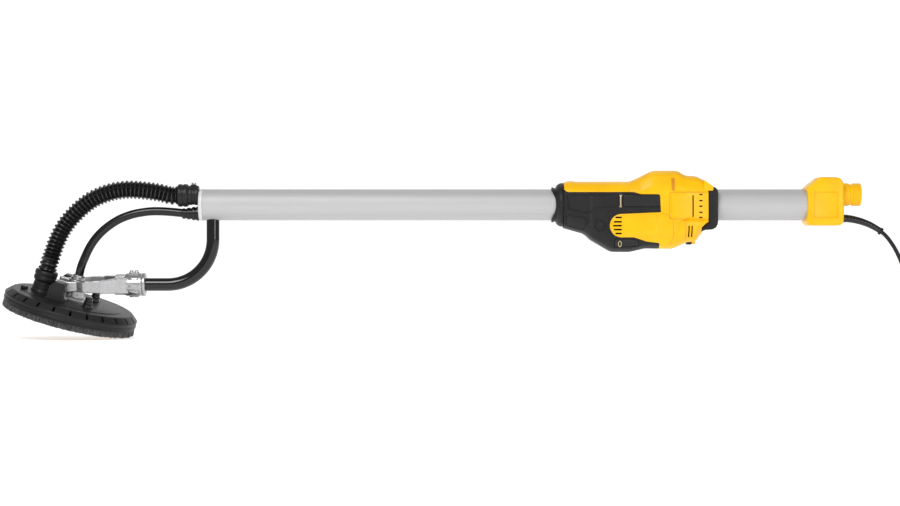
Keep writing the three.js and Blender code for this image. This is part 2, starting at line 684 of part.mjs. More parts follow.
function armature() {
  const windings = turned("x", [
    [0, 316], [14, 316], [armatureR, 326], [armatureR, 384],
    [14, 391], [8, 392], [11.5, 392.5], [11.5, 408], [0, 408],
  ], onMotor, 24);
  const shaft = rod("x", 3.6, pinionX[1] - 0.5, armatureEnd, onMotor, 12);
  const pinion = spurGear(pinionTeeth, ...pinionX, motorZ, false);
  const halfTooth = 180 / pinionTeeth;
  const pinionTurned = pinion.translate([0, 0, -motorZ]).rotate([halfTooth, 0, 0]).translate([0, 0, motorZ]);
  return join(windings, shaft, pinionTurned);
}

piece(pole, "armature", copper, armature());
const fanProfile = [[3.9, 309], [12, 309], [30, 306], [30, 308], [12, 315], [3.9, 315], [3.9, 309]];
piece(pole, "cooling_fan", greyPlastic, turned("x", fanProfile, onMotor, 24));
piece(pole, "front_motor_bearing", steel, pipe("x", 9.5, 3.9, 297, 303, onMotor, 20));
piece(pole, "rear_motor_bearing", steel, pipe("x", 9.5, 3.9, 414, 421, onMotor, 20));

function gearcasePlate() {
  const plate = lofted([296, 303.5], housingBottom, housingTop, housingHalfWidth, housingWall + 1.5, 20);
  const bearingHole = rod("x", 9.5 + gap, 290, 310, onMotor, 20);
  const shaftHole = rod("x", 7.5 + gap, 290, 310, onShaft, 16);
  return cut(plate, bearingHole, rod("x", ductR + gap, 290, 310, onDuct), shaftHole);
}

piece(pole, "gearcase_plate", castAluminium, gearcasePlate());

function outputGear() {
  const shaft = rod("x", 5, 277, 303, onShaft, 16);
  const journal = rod("x", 7.5, 295, 303, onShaft, 16);
  return join(spurGear(gearTeeth, ...gearX, shaftZ, true), shaft, journal);
}

piece(pole, "output_gear", steel, outputGear());
piece(pole, "flexible_core", steel, rod("x", coreR, plugFace, 277 - gap, onShaft, 8));

for (const [name, side] of [["brush_holder_near", -1], ["brush_holder_far", 1]]) {
  const [y0, y1] = side < 0 ? [-33, -12] : [12, 33];
  piece(pole, name, copper, box(395, 405, y0, y1, motorZ - 5, motorZ + 5));
}
piece(pole, "switch_module", greyPlastic, box(356, 398, -35, -16, 241, 257));

// ---- Rear end: end cap, dust port and the supply cord ----
function endCap() {
  const outline = [
    [capFront + 0.5, 209.9], [676.6, 202.4], [734.6, 202.4], [capEnd, 209.9], [capEnd, 274.6], [733, 288.2],
    [699, 289.6], [capFront, 269.2], [674.6, 263.6], [677, 250], [677, 230], [674.6, 216.8],
  ];
  const body = sideSlab(outline, -32, 32, 5);
  const tubeSeat = rod("x", poleR + gap, 650, rearTubeEnd + gap, onPole, 28);
  const air = rod("x", ductR + gap, 690, 716, onDuct);
  const portBore = rod("x", 16.5, 714, 750, [0, 0, portZ]);
  const cordBore = rod("x", cordR + 0.5, 690, 750, [0, 0, cordExitZ], 12);
  return cut(body, tubeSeat, air, portBore, cordBore);
}

piece(pole, "end_cap", yellowPlastic, endCap());
const portStart = capEnd + gap;
const portProfile = [
  [16.5, portStart], [20.5, portStart], [20.5, 751], [18.7, 752],
  [18.7, 754.5], [20.5, 755.5], [20.5, portEnd - 1.5],
  [19.5, portEnd], [16.5, portEnd], [16.5, portStart],
];
piece(pole, "dust_port", yellowPlastic, turned("x", portProfile, [0, 0, portZ], 24));

const reliefStart = capEnd + gap;
const reliefRoute = [
  [reliefStart, 0, cordExitZ], [748, 0, 215.4], [758, 0, 213.9],
  [771, 0, 210.8], [788, 0, 204.5], [802, 0, 196.8], [809, 0, 192],
];
piece(pole, "strain_relief", blackRubber, bar(curveThrough(reliefRoute), 6.4, 10, 8));

const coilMiddle = [930, 48];
const coilInner = 36.5;
const coilOuter = 59.5;
const coilTop = 28;
const cordRoute = [
  [809.6, 0, 191.4], [816, 0, 185.8], [821.5, 0, 179.7], [827, 0, 172.3], [832.4, 0, 164], [837.7, 0, 154.3],
  [842.4, 0, 144], [848.5, 0, 127], [853.5, 0, 104], [857, 0, 80], [860, 0, 57], [864.5, 0, 36],
  [872, 0, 18.5], [880, 0, 7.8], [889.6, 0, 4.2],
];
piece(pole, "cord_run", blackRubber, bar(curveThrough(cordRoute), cordR, 8, 24));
const coil = pipe("z", coilOuter, coilInner, 0, coilTop, [...coilMiddle, 0], 32);
piece(pole, "cord_coil", blackRubber, coil);

function mainsPlug() {
  const [x, y] = [coilMiddle[0] + 44, coilMiddle[1]];
  const rest = coilTop + gap;
  const body = box(x - 13, x + 13, y - 18, y + 14, rest, rest + 22);
  const sleeve = rod("y", 6, y - 34, y - 17, [x, 0, rest + 11], 12);
  const blades = [-6.3, 6.3]
    .map((side) => box(x + side - 0.8, x + side + 0.8, y + 13, y + 31, rest + 10, rest + 16));
  const earth = rod("y", 2.4, y + 13, y + 34, [x, 0, rest + 5], 10);
  return join(body, sleeve, ...blades, earth);
}

piece(pole, "mains_plug", blackPlastic, mainsPlug());

export default sander;
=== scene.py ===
# %% [markdown]
# # A pole drywall sander
# A corded wall sander with a round head on a long pole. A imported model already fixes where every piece
# sits and how it moves. This lesson gives each piece its finished surface, one step at a time.
# Everything is in metres, with the pole along X, the head at -X and the floor at z = 0.

# %% Load the frame
import json
import math
import random

import bmesh
import bpy
from mathutils import Matrix, Vector
from mathutils.bvhtree import BVHTree


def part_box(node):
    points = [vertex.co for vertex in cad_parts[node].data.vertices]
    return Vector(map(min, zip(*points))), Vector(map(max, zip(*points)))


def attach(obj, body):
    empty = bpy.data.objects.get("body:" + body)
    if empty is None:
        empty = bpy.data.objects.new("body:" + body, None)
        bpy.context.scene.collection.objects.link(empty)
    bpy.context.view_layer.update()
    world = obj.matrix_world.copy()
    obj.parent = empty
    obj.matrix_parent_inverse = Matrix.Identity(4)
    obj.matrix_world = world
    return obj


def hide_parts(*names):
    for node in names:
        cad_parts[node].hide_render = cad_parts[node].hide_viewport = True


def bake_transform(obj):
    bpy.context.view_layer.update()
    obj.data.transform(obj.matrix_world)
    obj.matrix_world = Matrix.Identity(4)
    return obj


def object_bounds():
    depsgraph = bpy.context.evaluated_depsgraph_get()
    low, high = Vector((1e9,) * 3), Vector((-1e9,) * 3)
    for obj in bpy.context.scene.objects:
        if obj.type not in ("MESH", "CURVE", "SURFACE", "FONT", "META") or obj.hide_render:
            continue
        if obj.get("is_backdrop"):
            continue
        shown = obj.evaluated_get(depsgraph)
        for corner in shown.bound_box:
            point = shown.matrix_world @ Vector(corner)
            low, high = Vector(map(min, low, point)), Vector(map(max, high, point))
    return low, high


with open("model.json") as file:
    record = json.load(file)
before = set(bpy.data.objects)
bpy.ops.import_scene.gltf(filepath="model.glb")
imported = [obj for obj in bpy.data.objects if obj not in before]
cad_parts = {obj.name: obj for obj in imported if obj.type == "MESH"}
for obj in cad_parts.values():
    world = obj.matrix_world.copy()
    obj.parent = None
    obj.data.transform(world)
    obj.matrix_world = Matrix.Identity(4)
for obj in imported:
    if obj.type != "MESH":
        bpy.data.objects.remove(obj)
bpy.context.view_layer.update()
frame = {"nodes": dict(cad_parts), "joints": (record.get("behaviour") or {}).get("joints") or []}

mm = 0.001

# %% [markdown]
# ## Places to work from
# The head hangs at two angles, so its pieces are easiest to make upright and then set in place with one
# matrix. The joints of the frame give that matrix: the pad's spin axis is the head's own up direction,
# and the tilt pins give its sideways direction.

# %% Frames of the pole, the fork and the head
joints = {joint["name"]: joint for joint in frame["joints"]}
pole_y = joints["drive_spin"]["pos_m"][1]
pole_z = sum(corner.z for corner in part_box("rear_tube")) / 2
pin_back, pin_up = 25 * mm, 59.33 * mm


def placed_by(x_axis, y_axis, z_axis, origin):
    """The matrix that carries a piece's own axes onto these directions."""
    place = Matrix((x_axis, y_axis, z_axis)).transposed().to_4x4()
    place.translation = origin
    return place


spin_axis = Vector(joints["pad_spin"]["axis"]).normalized()
pin_axis = Vector(joints["head_tilt"]["axis"]).normalized()
head_ahead = pin_axis.cross(spin_axis)
head_origin = Vector(joints["head_tilt"]["pos_m"]) + pin_back * head_ahead - pin_up * spin_axis
head_place = placed_by(head_ahead, pin_axis, spin_axis, head_origin)
pole_ahead = Vector((1, 0, 0))
fork_origin = Vector(joints["fork_swivel"]["pos_m"])
fork_place = placed_by(pole_ahead, pin_axis, pole_ahead.cross(pin_axis), fork_origin)
side_place = placed_by(pole_ahead, Vector((0, 0, 1)), Vector((0, -1, 0)), Vector((0, pole_y, 0)))


def lying(x, z):
    """A place for a turned piece whose own Z axis runs along the pole, x and z in millimetres."""
    return Matrix.Translation((x * mm, pole_y, z * mm)) @ Matrix.Rotation(math.pi / 2, 4, "Y")


def spot(x, y, z):
    """A point beside the pole in millimetres, as metres in the model's frame."""
    return Vector((x, y, z)) * mm + Vector((0, pole_y, 0))


def outward(side):
    """Turns a piece's own Z axis to the near side (-1) or the far side (1)."""
    return Matrix.Rotation(-side * math.pi / 2, 4, "X")


def on_head(x, y, z):
    return head_place @ (Vector((x, y, z)) * mm)


print("head stands at", [round(v, 4) for v in head_origin])

# %% [markdown]
# ## Camera and light
# A long lens from straight beside the pole keeps the tool from looking bent by perspective. The room is
# a white floor that curves up into a far white wall, and big soft lamps turn gloss into broad streaks.

# %% Camera
camera_distance = 4.3
view_width = 1.62
sensor_width = 36.0
look_at = Vector((33.1 * mm, pole_y, 153.4 * mm))
camera_data = bpy.data.cameras.new("camera")
camera_data.sensor_width = sensor_width
camera_data.lens = sensor_width * camera_distance / view_width
camera = bpy.data.objects.new("camera", camera_data)
camera.location = look_at - Vector((0, camera_distance, 0))
camera.rotation_euler = (math.pi / 2, 0, 0)
bpy.context.scene.collection.objects.link(camera)
bpy.context.scene.camera = camera
print("lens", round(camera_data.lens, 1), "mm")

# %% Light and sky


def soft_lamp(name, place, aim, size, power):
    """A large square lamp that shines from place towards aim."""
    data = bpy.data.lights.new(name, "AREA")
    data.size = size
    data.energy = power
    lamp = bpy.data.objects.new(name, data)
    lamp.location = place
    lamp.rotation_euler = (Vector(aim) - Vector(place)).to_track_quat("-Z", "Y").to_euler()
    bpy.context.scene.collection.objects.link(lamp)


middle = (0, 0, 0.15)
soft_lamp("key_lamp", (-1.0, -2.8, 2.6), middle, 1.6, 74)
soft_lamp("fill_lamp", (1.9, -2.6, 0.5), middle, 0.7, 13)
soft_lamp("back_lamp", (0.3, 1.6, 2.6), middle, 1.6, 8)
sky = bpy.data.worlds.new("sky")
bpy.context.scene.world = sky
sky.use_nodes = True
sky.node_tree.nodes["Background"].inputs["Color"].default_value = (1, 1, 1, 1)
sky.node_tree.nodes["Background"].inputs["Strength"].default_value = 0.4
bpy.context.scene.view_settings.view_transform = "Standard"
print("three lamps")

# %% [markdown]
# ## Shaping helpers
# Nearly everything here is one of four things: turned on a lathe, swept along a line, cut from a slab,
# or lofted through sections. Small functions make each of them as a closed mesh, with its sharp edges
# marked by angle so that round parts still shade smoothly.

# %% A mesh from points and faces
sharp_angle = math.radians(32)


def shade(piece):
    """Smooth shading that breaks at real edges."""
    piece.data.shade_smooth()
    piece.data.set_sharp_from_angle(angle=sharp_angle)


def new_piece(name, points, faces):
    """A new object whose faces all look outwards."""
    data = bpy.data.meshes.new(name)
    data.from_pydata([tuple(point) for point in points], [], faces)
    work = bmesh.new()
    work.from_mesh(data)
    bmesh.ops.recalc_face_normals(work, faces=work.faces)
    work.to_mesh(data)
    work.free()
    piece = bpy.data.objects.new(name, data)
    bpy.context.scene.collection.objects.link(piece)
    shade(piece)
    return piece


def rounded(points, radius, steps=4, closed=True):
    """The same outline with every corner eased by about radius."""
    eased = []
    count = len(points)
    for i, point in enumerate(points):
        here = Vector(point)
        if not closed and i in (0, count - 1):
            eased.append(tuple(here))
            continue
        before, after = Vector(points[i - 1]), Vector(points[(i + 1) % count])
        reach_in = min(radius, 0.48 * (before - here).length)
        reach_out = min(radius, 0.48 * (after - here).length)
        start = here + (before - here).normalized() * reach_in
        end = here + (after - here).normalized() * reach_out
        for k in range(steps + 1):
            t = k / steps
            eased.append(tuple(start * (1 - t) ** 2 + here * 2 * t * (1 - t) + end * t ** 2))
    return eased


print("edges sharper than", round(math.degrees(sharp_angle)), "degrees stay crisp")

# %% Turned shapes


def turned(name, profile, place, steps=96, ease=0.0):
    """A piece turned about its own Z axis from (radius, height) points in millimetres."""
    closed = tuple(profile[0]) == tuple(profile[-1])
    rows = list(profile[:-1] if closed else profile)
    if ease:
        rows = rounded(rows, ease, 3, closed)
    points, rings = [], []
    for radius, height in rows:
        if radius < 1e-6:
            rings.append([len(points)])
            points.append(Vector((0, 0, height)))
            continue
        rings.append(list(range(len(points), len(points) + steps)))
        for k in range(steps):
            turn = 2 * math.pi * k / steps
            points.append(Vector((radius * math.cos(turn), radius * math.sin(turn), height)))
    faces = []
    pairs = list(zip(rings, rings[1:])) + ([(rings[-1], rings[0])] if closed else [])
    for low, high in pairs:
        for k in range(steps):
            n = (k + 1) % steps
            if len(low) == 1:
                faces.append((low[0], high[n], high[k]))
            elif len(high) == 1:
                faces.append((low[k], low[n], high[0]))
            else:
                faces.append((low[k], low[n], high[n], high[k]))
    return new_piece(name, [place @ (point * mm) for point in points], faces)


print("the lathe is ready")

# %% Lines to sweep along


def smooth_line(points, step):
    """A centripetal curve through the points, as points about step apart."""
    ends = [2 * points[0] - points[1], *points, 2 * points[-1] - points[-2]]
    fine = []
    for a, b, c, d in zip(ends, ends[1:], ends[2:], ends[3:]):
        t0 = 0.0
        t1 = t0 + math.sqrt((b - a).length)
        t2 = t1 + math.sqrt((c - b).length)
        t3 = t2 + math.sqrt((d - c).length)
        for k in range(24):
            t = t1 + (t2 - t1) * k / 24
            ab = a * ((t1 - t) / (t1 - t0)) + b * ((t - t0) / (t1 - t0))
            bc = b * ((t2 - t) / (t2 - t1)) + c * ((t - t1) / (t2 - t1))
            cd = c * ((t3 - t) / (t3 - t2)) + d * ((t - t2) / (t3 - t2))
            abc = ab * ((t2 - t) / (t2 - t0)) + bc * ((t - t0) / (t2 - t0))
            bcd = bc * ((t3 - t) / (t3 - t1)) + cd * ((t - t1) / (t3 - t1))
            fine.append(abc * ((t2 - t) / (t2 - t1)) + bcd * ((t - t1) / (t2 - t1)))
    fine.append(points[-1])
    return spaced(fine, step)


def spaced(line, step):
    """The line again, in equal steps."""
    lengths = [0.0]
    for a, b in zip(line, line[1:]):
        lengths.append(lengths[-1] + (b - a).length)
    count = max(2, round(lengths[-1] / step))
    even, k = [], 0
    for i in range(count + 1):
        want = lengths[-1] * i / count
        while k < len(line) - 2 and lengths[k + 1] < want:
            k += 1
        share = (want - lengths[k]) / max(1e-12, lengths[k + 1] - lengths[k])
        even.append(line[k].lerp(line[k + 1], min(1.0, share)))
    return even


print("lines are ready")

# %% Swept shapes


def swept(name, line, radius_at, sides=32, across=Vector((0, 1, 0)), closed=False):
    """A round bar along a line; radius_at gives its radius from the distance along it."""
    points, faces, run = [], [], 0.0
    for i, here in enumerate(line):
        if closed:
            ahead = (line[(i + 1) % len(line)] - line[i - 1]).normalized()
        else:
            ahead = (line[min(i + 1, len(line) - 1)] - line[max(i - 1, 0)]).normalized()
        beside = (across - across.dot(ahead) * ahead).normalized()
        over = ahead.cross(beside)
        radius = radius_at(run)
        for k in range(sides):
            turn = 2 * math.pi * k / sides
            points.append(here + radius * (math.cos(turn) * beside + math.sin(turn) * over))
        if i + 1 < len(line):
            run += (line[i + 1] - here).length
    for i in range(len(line) if closed else len(line) - 1):
        low, high = i * sides, (i + 1) % len(line) * sides
        for k in range(sides):
            n = (k + 1) % sides
            faces.append((low + k, low + n, high + n, high + k))
    if not closed:
        faces.append(tuple(range(sides)))
        faces.append(tuple(range(len(points) - sides, len(points))))
    return new_piece(name, points, faces)


print("the sweep is ready")

# %% Slabs and rods


def slab(name, outline, low, high, place=side_place):
    """An outline in millimetres made solid between two depths; depth runs towards the near side."""
    count = len(outline)
    points = [place @ (Vector((u, v, low)) * mm) for u, v in outline]
    points += [place @ (Vector((u, v, high)) * mm) for u, v in outline]
    faces = [tuple(range(count)), tuple(range(count, 2 * count))]
    for k in range(count):
        n = (k + 1) % count
        faces.append((k, n, n + count, k + count))
    return new_piece(name, points, faces)


def oblong(u0, u1, v0, v1):
    """The four corners of a rectangle."""
    return [(u0, v0), (u1, v0), (u1, v1), (u0, v1)]


def rod(radius, low, high, place, steps):
    """A round bar along its own Z axis, to cut a bore with."""
    return turned("cut", [(0, low), (radius, low), (radius, high), (0, high)], place, steps)


print("slabs and rods are ready")

# %% Settling modifiers, cutting and rounding


def settle(piece):
    """Makes a piece's modifiers permanent."""
    bpy.context.view_layer.update()
    graph = bpy.context.evaluated_depsgraph_get()
    done = bpy.data.meshes.new_from_object(piece.evaluated_get(graph))
    piece.modifiers.clear()
    piece.data = done
    shade(piece)


def carve(piece, tool, how="DIFFERENCE"):
    """Cuts a piece with a tool, which is used up."""
    step = piece.modifiers.new("carve", "BOOLEAN")
    step.operation = how
    step.object = tool
    step.solver = "EXACT"
    settle(piece)
    bpy.data.objects.remove(tool)


def joined(name, parts):
    """Several meshes as one, without merging their surfaces."""
    points, faces = [], []
    for part in parts:
        first = len(points)
        points += [part.matrix_world @ vertex.co for vertex in part.data.vertices]
        faces += [tuple(first + v for v in face.vertices) for face in part.data.polygons]
        bpy.data.objects.remove(part)
    return new_piece(name, points, faces)


def ease_edges(piece, width, segments=3, angle=35):
    """Rounds a piece's sharp edges by width in millimetres."""
    step = piece.modifiers.new("ease", "BEVEL")
    step.width = width * mm
    step.segments = segments
    step.limit_method = "ANGLE"
    step.angle_limit = math.radians(angle)
    step.harden_normals = False
    settle(piece)


def softened(name, node, voxel, rounds):
    """A fine, smooth-edged casting in the shape of a plain node."""
    piece = bpy.data.objects.new(name, frame["nodes"][node].data.copy())
    piece.data.materials.clear()
    bpy.context.scene.collection.objects.link(piece)
    remesh = piece.modifiers.new("fine", "REMESH")
    remesh.mode = "VOXEL"
    remesh.voxel_size = voxel * mm
    smooth = piece.modifiers.new("soft", "SMOOTH")
    smooth.factor = 0.5
    smooth.iterations = rounds
    settle(piece)
    return piece


print("helpers are ready")

# %% [markdown]
# ## Finishes
# Each finish starts from the same recipe: a broad noise shifts the colour a little, a finer one changes
# the roughness, and the finest, at the real grain size, raises the surface. What differs is the scale,
# the stretch and the contrast. Drawn tube gets grain stretched along the pole, castings get a coarse
# skin, and foam and grit are made of small cells.

# %% Noise and cells
plain_finishes = len(bpy.data.materials)


def new_finish(name):
    material = bpy.data.materials.new(name)
    material.use_nodes = True
    return material


def noise(material, size, detail=4.0, stretch=(1, 1, 1)):
    """A noise whose blobs are about size millimetres across; returns its value socket."""
    nodes, links = material.node_tree.nodes, material.node_tree.links
    where = nodes.new("ShaderNodeTexCoord")
    mapping = nodes.new("ShaderNodeMapping")
    mapping.inputs["Scale"].default_value = stretch
    texture = nodes.new("ShaderNodeTexNoise")
    texture.inputs["Scale"].default_value = 1 / (size * mm)
    texture.inputs["Detail"].default_value = detail
    links.new(where.outputs["Object"], mapping.inputs["Vector"])
    links.new(mapping.outputs["Vector"], texture.inputs["Vector"])
    return texture.outputs["Fac"]


def cells(material, size):
    """A cell pattern of about size millimetres; returns its distance socket."""
    nodes, links = material.node_tree.nodes, material.node_tree.links
    where = nodes.new("ShaderNodeTexCoord")
    texture = nodes.new("ShaderNodeTexVoronoi")
    texture.feature = "F1"
    texture.inputs["Scale"].default_value = 1 / (size * mm)
    links.new(where.outputs["Object"], texture.inputs["Vector"])
    return texture.outputs["Distance"]


print("the frame brings", plain_finishes, "plain finishes")

# %% Colour, roughness and height


def tint(material, value, dark, light, low=0.3, high=0.7):
    """Colours the surface from dark to light as the value rises from low to high."""
    nodes, links = material.node_tree.nodes, material.node_tree.links
    ramp = nodes.new("ShaderNodeValToRGB")
    ramp.color_ramp.elements[0].position = low
    ramp.color_ramp.elements[1].position = high
    ramp.color_ramp.elements[0].color = (*dark, 1)
    ramp.color_ramp.elements[1].color = (*light, 1)
    links.new(value, ramp.inputs["Fac"])
    links.new(ramp.outputs["Color"], nodes["Principled BSDF"].inputs["Base Color"])


def roughen(material, value, smooth, rough):
    """Sets roughness from smooth to rough by a value."""
    nodes, links = material.node_tree.nodes, material.node_tree.links
    spread = nodes.new("ShaderNodeMapRange")
    spread.inputs["From Min"].default_value = 0.3
    spread.inputs["From Max"].default_value = 0.7
    spread.inputs["To Min"].default_value = smooth
    spread.inputs["To Max"].default_value = rough
    links.new(value, spread.inputs["Value"])
    links.new(spread.outputs["Result"], nodes["Principled BSDF"].inputs["Roughness"])


def emboss(material, value, strength, depth):
    """Raises the surface by a value, depth in millimetres."""
    nodes, links = material.node_tree.nodes, material.node_tree.links
    bump = nodes.new("ShaderNodeBump")
    bump.inputs["Strength"].default_value = strength
    bump.inputs["Distance"].default_value = depth * mm
    links.new(value, bump.inputs["Height"])
    links.new(bump.outputs["Normal"], nodes["Principled BSDF"].inputs["Normal"])


print("a value can set colour, roughness and height")

# %% The common recipe


def finish(name, dark, light, rough, grain, metal=0.0, depth=0.05, coat=0.0, stretch=(1, 1, 1), blot=30,
           gleam=0.5):
    """A surface with broad blots of colour, and fine grain in its roughness and height."""
    material = new_finish(name)
    shader = material.node_tree.nodes["Principled BSDF"]
    shader.inputs["Metallic"].default_value = metal
    shader.inputs["Coat Weight"].default_value = coat
    shader.inputs["Specular IOR Level"].default_value = gleam
    shader.inputs["Coat Roughness"].default_value = 0.12
    tint(material, noise(material, blot, 5.0, stretch), dark, light)
    roughen(material, noise(material, grain * 3, 4.0, stretch), *rough)
    emboss(material, noise(material, grain, 3.0, stretch), 0.5, depth)
    return material


def grey(value):
    return (value, value, value * 1.01)


print("the recipe is ready")

# %% Plastics and rubbers
yellow_plastic = finish("yellow_plastic", (0.87, 0.455, 0.001), (0.94, 0.51, 0.002), (0.28, 0.38), 0.5,
                        depth=0.02, gleam=0.25)
# A darker yellow laid on the strip and the thin lines that stand for recesses and creases: painted shade, not
# a second colour of plastic.
painted_shade_yellow = finish("painted_shade_yellow", (0.62, 0.22, 0.002), (0.70, 0.27, 0.003), (0.3, 0.4), 0.5, depth=0.02)
grip_rubber = finish("grip_rubber", grey(0.007), grey(0.012), (0.40, 0.52), 0.35, depth=0.05, gleam=0.3)
pad_rubber = finish("pad_rubber", grey(0.011), grey(0.017), (0.36, 0.48), 0.35, depth=0.04, gleam=0.3)
shroud_plastic = finish("shroud_plastic", grey(0.007), grey(0.013), (0.34, 0.48), 0.6, depth=0.05,
                        gleam=0.3)
hose_rubber = finish("hose_rubber", grey(0.003), grey(0.006), (0.18, 0.30), 1.2, depth=0.05, coat=0.35,
                     gleam=0.3)
casing_rubber = finish("casing_rubber", grey(0.003), grey(0.006), (0.18, 0.28), 0.8, depth=0.03, coat=0.25,
                       gleam=0.3)
cord_rubber = finish("cord_rubber", grey(0.003), grey(0.008), (0.34, 0.46), 0.6, depth=0.03, gleam=0.3)
inner_plastic = finish("inner_plastic", grey(0.20), grey(0.30), (0.45, 0.6), 0.6)
# The same near-black finish serves as the cooling fan's plastic and as painted shade for the lining behind
# the slots and the tube in the dust port.
black_and_painted_shade = finish("black_and_painted_shade", grey(0.003), grey(0.006), (0.6, 0.8), 0.6, gleam=0.2)
beige_print = finish("beige_print", (0.50, 0.40, 0.22), (0.62, 0.51, 0.30), (0.4, 0.55), 0.3, depth=0.02)
grey_collar = finish("grey_collar", grey(0.62), grey(0.75), (0.3, 0.42), 0.6, depth=0.03)
print(len(bpy.data.materials) - plain_finishes, "plastics and rubbers")

# %% Metals
along_pole = (0.04, 1, 1)
satin_tube = finish("satin_tube", grey(0.45), grey(0.52), (0.50, 0.60), 0.25, metal=0.25, depth=0.015,
                    stretch=along_pole, gleam=0.35)
gloss_paint = finish("gloss_paint", grey(0.002), grey(0.004), (0.07, 0.12), 1.5, depth=0.02, coat=0.5,
                     gleam=0.25)
cast_metal = finish("cast_metal", grey(0.40), grey(0.50), (0.26, 0.40), 0.9, metal=0.9, depth=0.14, blot=4)
bright_steel = finish("bright_steel", grey(0.45), grey(0.62), (0.2, 0.34), 0.3, metal=1.0, depth=0.02,
                      blot=6)
wound_copper = finish("wound_copper", (0.42, 0.16, 0.06), (0.62, 0.28, 0.12), (0.3, 0.45), 0.4, metal=1.0,
                      blot=4)
print(len(bpy.data.materials) - plain_finishes, "finishes with the metals")

# %% Bristle, foam and grit
bristle_black = finish("bristle_black", grey(0.002), grey(0.14), (0.5, 0.7), 0.5, depth=0.1,
                       stretch=(1, 1, 0.3), blot=2.6)
pad_foam = new_finish("pad_foam")
tint(pad_foam, noise(pad_foam, 6), grey(0.05), grey(0.09))
roughen(pad_foam, noise(pad_foam, 2), 0.8, 0.95)
emboss(pad_foam, cells(pad_foam, 0.9), 0.8, 0.3)
sanding_grit = new_finish("sanding_grit")
tint(sanding_grit, noise(sanding_grit, 0.6, 6.0), (0.20, 0.11, 0.05), (0.46, 0.29, 0.15), 0.4, 0.62)
roughen(sanding_grit, noise(sanding_grit, 1.0), 0.7, 0.95)
emboss(sanding_grit, cells(sanding_grit, 0.35), 1.0, 0.25)
floor_paint = finish("floor_paint", grey(0.86), grey(0.90), (0.6, 0.7), 6.0, depth=0.02, blot=400)
print(len(bpy.data.materials) - plain_finishes, "finishes")

# %% [markdown]
# ## Giving a finished piece to the frame
# Each piece takes a finish, rides on the body it belongs to and
# stands for the plain node that it replaces.

# %% Handing a piece over


def give(piece, material, body, slot, *nodes):
    piece.data.materials.clear()
    piece.data.materials.append(material)
    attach(piece, body)
    if nodes:
        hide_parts(*nodes)
    return piece


def repaint(node, material):
    """Gives a plain node that stays its real finish."""
    place = frame["nodes"][node].material_slots[0]
    place.link = "OBJECT"
    place.material = material


def bend(piece, material, node):
    """Gives a rubber length its finish, hides its plain node and bakes its place into the mesh."""
    piece.data.materials.append(material)
    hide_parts(node)
    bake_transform(piece)


print(len(frame["nodes"]), "plain nodes in the frame")

# %% Floor and backdrop
floor_half, wall_start, wall_bend, wall_top = 7.0, 7.5, 1.5, 7.0
sweep_line = [(-floor_half, 0.0), (wall_start, 0.0)]
for k in range(1, 17):
    turn = math.pi / 2 * k / 16
    sweep_line.append((wall_start + wall_bend * math.sin(turn), wall_bend * (1 - math.cos(turn))))
sweep_line.append((wall_start + wall_bend, wall_top))
floor_drop = 0.4 * mm
points = [Vector((x, y, z - floor_drop)) for y, z in sweep_line for x in (-floor_half, floor_half)]
faces = [(2 * k, 2 * k + 1, 2 * k + 3, 2 * k + 2) for k in range(len(sweep_line) - 1)]
glow = floor_paint.node_tree.nodes["Principled BSDF"]
glow.inputs["Emission Color"].default_value = (1, 1, 1, 1)
glow.inputs["Emission Strength"].default_value = 0.52
backdrop = new_piece("backdrop", points, faces)
backdrop.data.materials.append(floor_paint)
backdrop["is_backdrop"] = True
print("floor is", 2 * floor_half, "m wide")

# %% [markdown]
# ## Pole
# The pole is a drawn aluminium tube in two lengths, one from the head to the motor and one behind it. A
# tube like this carries fine lengthways grain and reflects as one long streak, so it needs many sides
# and a finish stretched along X.

# %% Pole tubes
pole_r, pole_wall = 28.0, 2.0


def pole_tube(name, start, end):
    """A length of pole with its bore and small eased rims, start and end in millimetres along the pole."""
    long, inner, rim = end - start, pole_r - pole_wall, 0.6
    profile = [(pole_r - rim, 0), (pole_r, rim), (pole_r, long - rim), (pole_r - rim, long)]
    profile += [(inner, long), (inner, 0), (pole_r - rim, 0)]
    return turned(name, profile, lying(start, pole_z / mm), 160)


front_start, front_end = -411.0, 262.0
rear_start, rear_end = 486.0, 700.0
give(pole_tube("front_tube_skin", front_start, front_end), satin_tube, "pole", "satin_aluminium",
     "front_tube")
give(pole_tube("rear_tube_skin", rear_start, rear_end), satin_tube, "pole", "satin_aluminium", "rear_tube")
print("tubes are", front_end - front_start, "and", rear_end - rear_start, "mm long")

# %% Pole end collar
duct_z, duct_r = 252.3, 12.4
casing_z, casing_r = 222.5, 7.7
hole_gap = 0.3
collar_start = -418.2
collar_profile = [(0, 11.7), (25.6, 11.7), (25.6, 7.2), (28.6, 7.0), (28.75, 5.2), (28.3, 2.6), (27.2, 0.8),
                  (25.6, 0), (0, 0)]
pole_collar = turned("pole_collar", collar_profile, lying(collar_start, pole_z / mm), 128, 0.5)
carve(pole_collar, rod(duct_r + hole_gap, -5, 20, lying(collar_start, duct_z), 96))
carve(pole_collar, rod(casing_r + hole_gap, -5, 20, lying(collar_start, casing_z), 64))
give(pole_collar, grey_collar, "pole", "grey_plastic", "pole_front_plug")
print("pole is", 2 * pole_r, "mm across")

# %% [markdown]
# ## Neck
# A bent steel rod, painted gloss black, comes out under the pole, drops and turns forward into the fork's
# collar. Deep paint on a round bar shows one sharp bright line, so the finish is a clear coat over black.

# %% Bent neck
neck_r, neck_x = 11.7, -393.5
bend_r = 81.0
fork_z = fork_origin.z / mm
bend_middle = (neck_x - bend_r, fork_z + bend_r)
neck_line = [spot(neck_x, 0, 214.0), spot(neck_x, 0, 196.0)]
for k in range(25):
    turn = math.radians(-90 * k / 24)
    neck_line.append(spot(bend_middle[0] + bend_r * math.cos(turn), 0,
                          bend_middle[1] + bend_r * math.sin(turn)))
neck_line.append(spot(-546.0, 0, fork_z))
neck = swept("neck_bar", spaced(neck_line, 3 * mm), lambda run: neck_r * mm, 64)
give(neck, gloss_paint, "pole", "black_paint", "neck_tube")
print("neck bends at", bend_r, "mm")
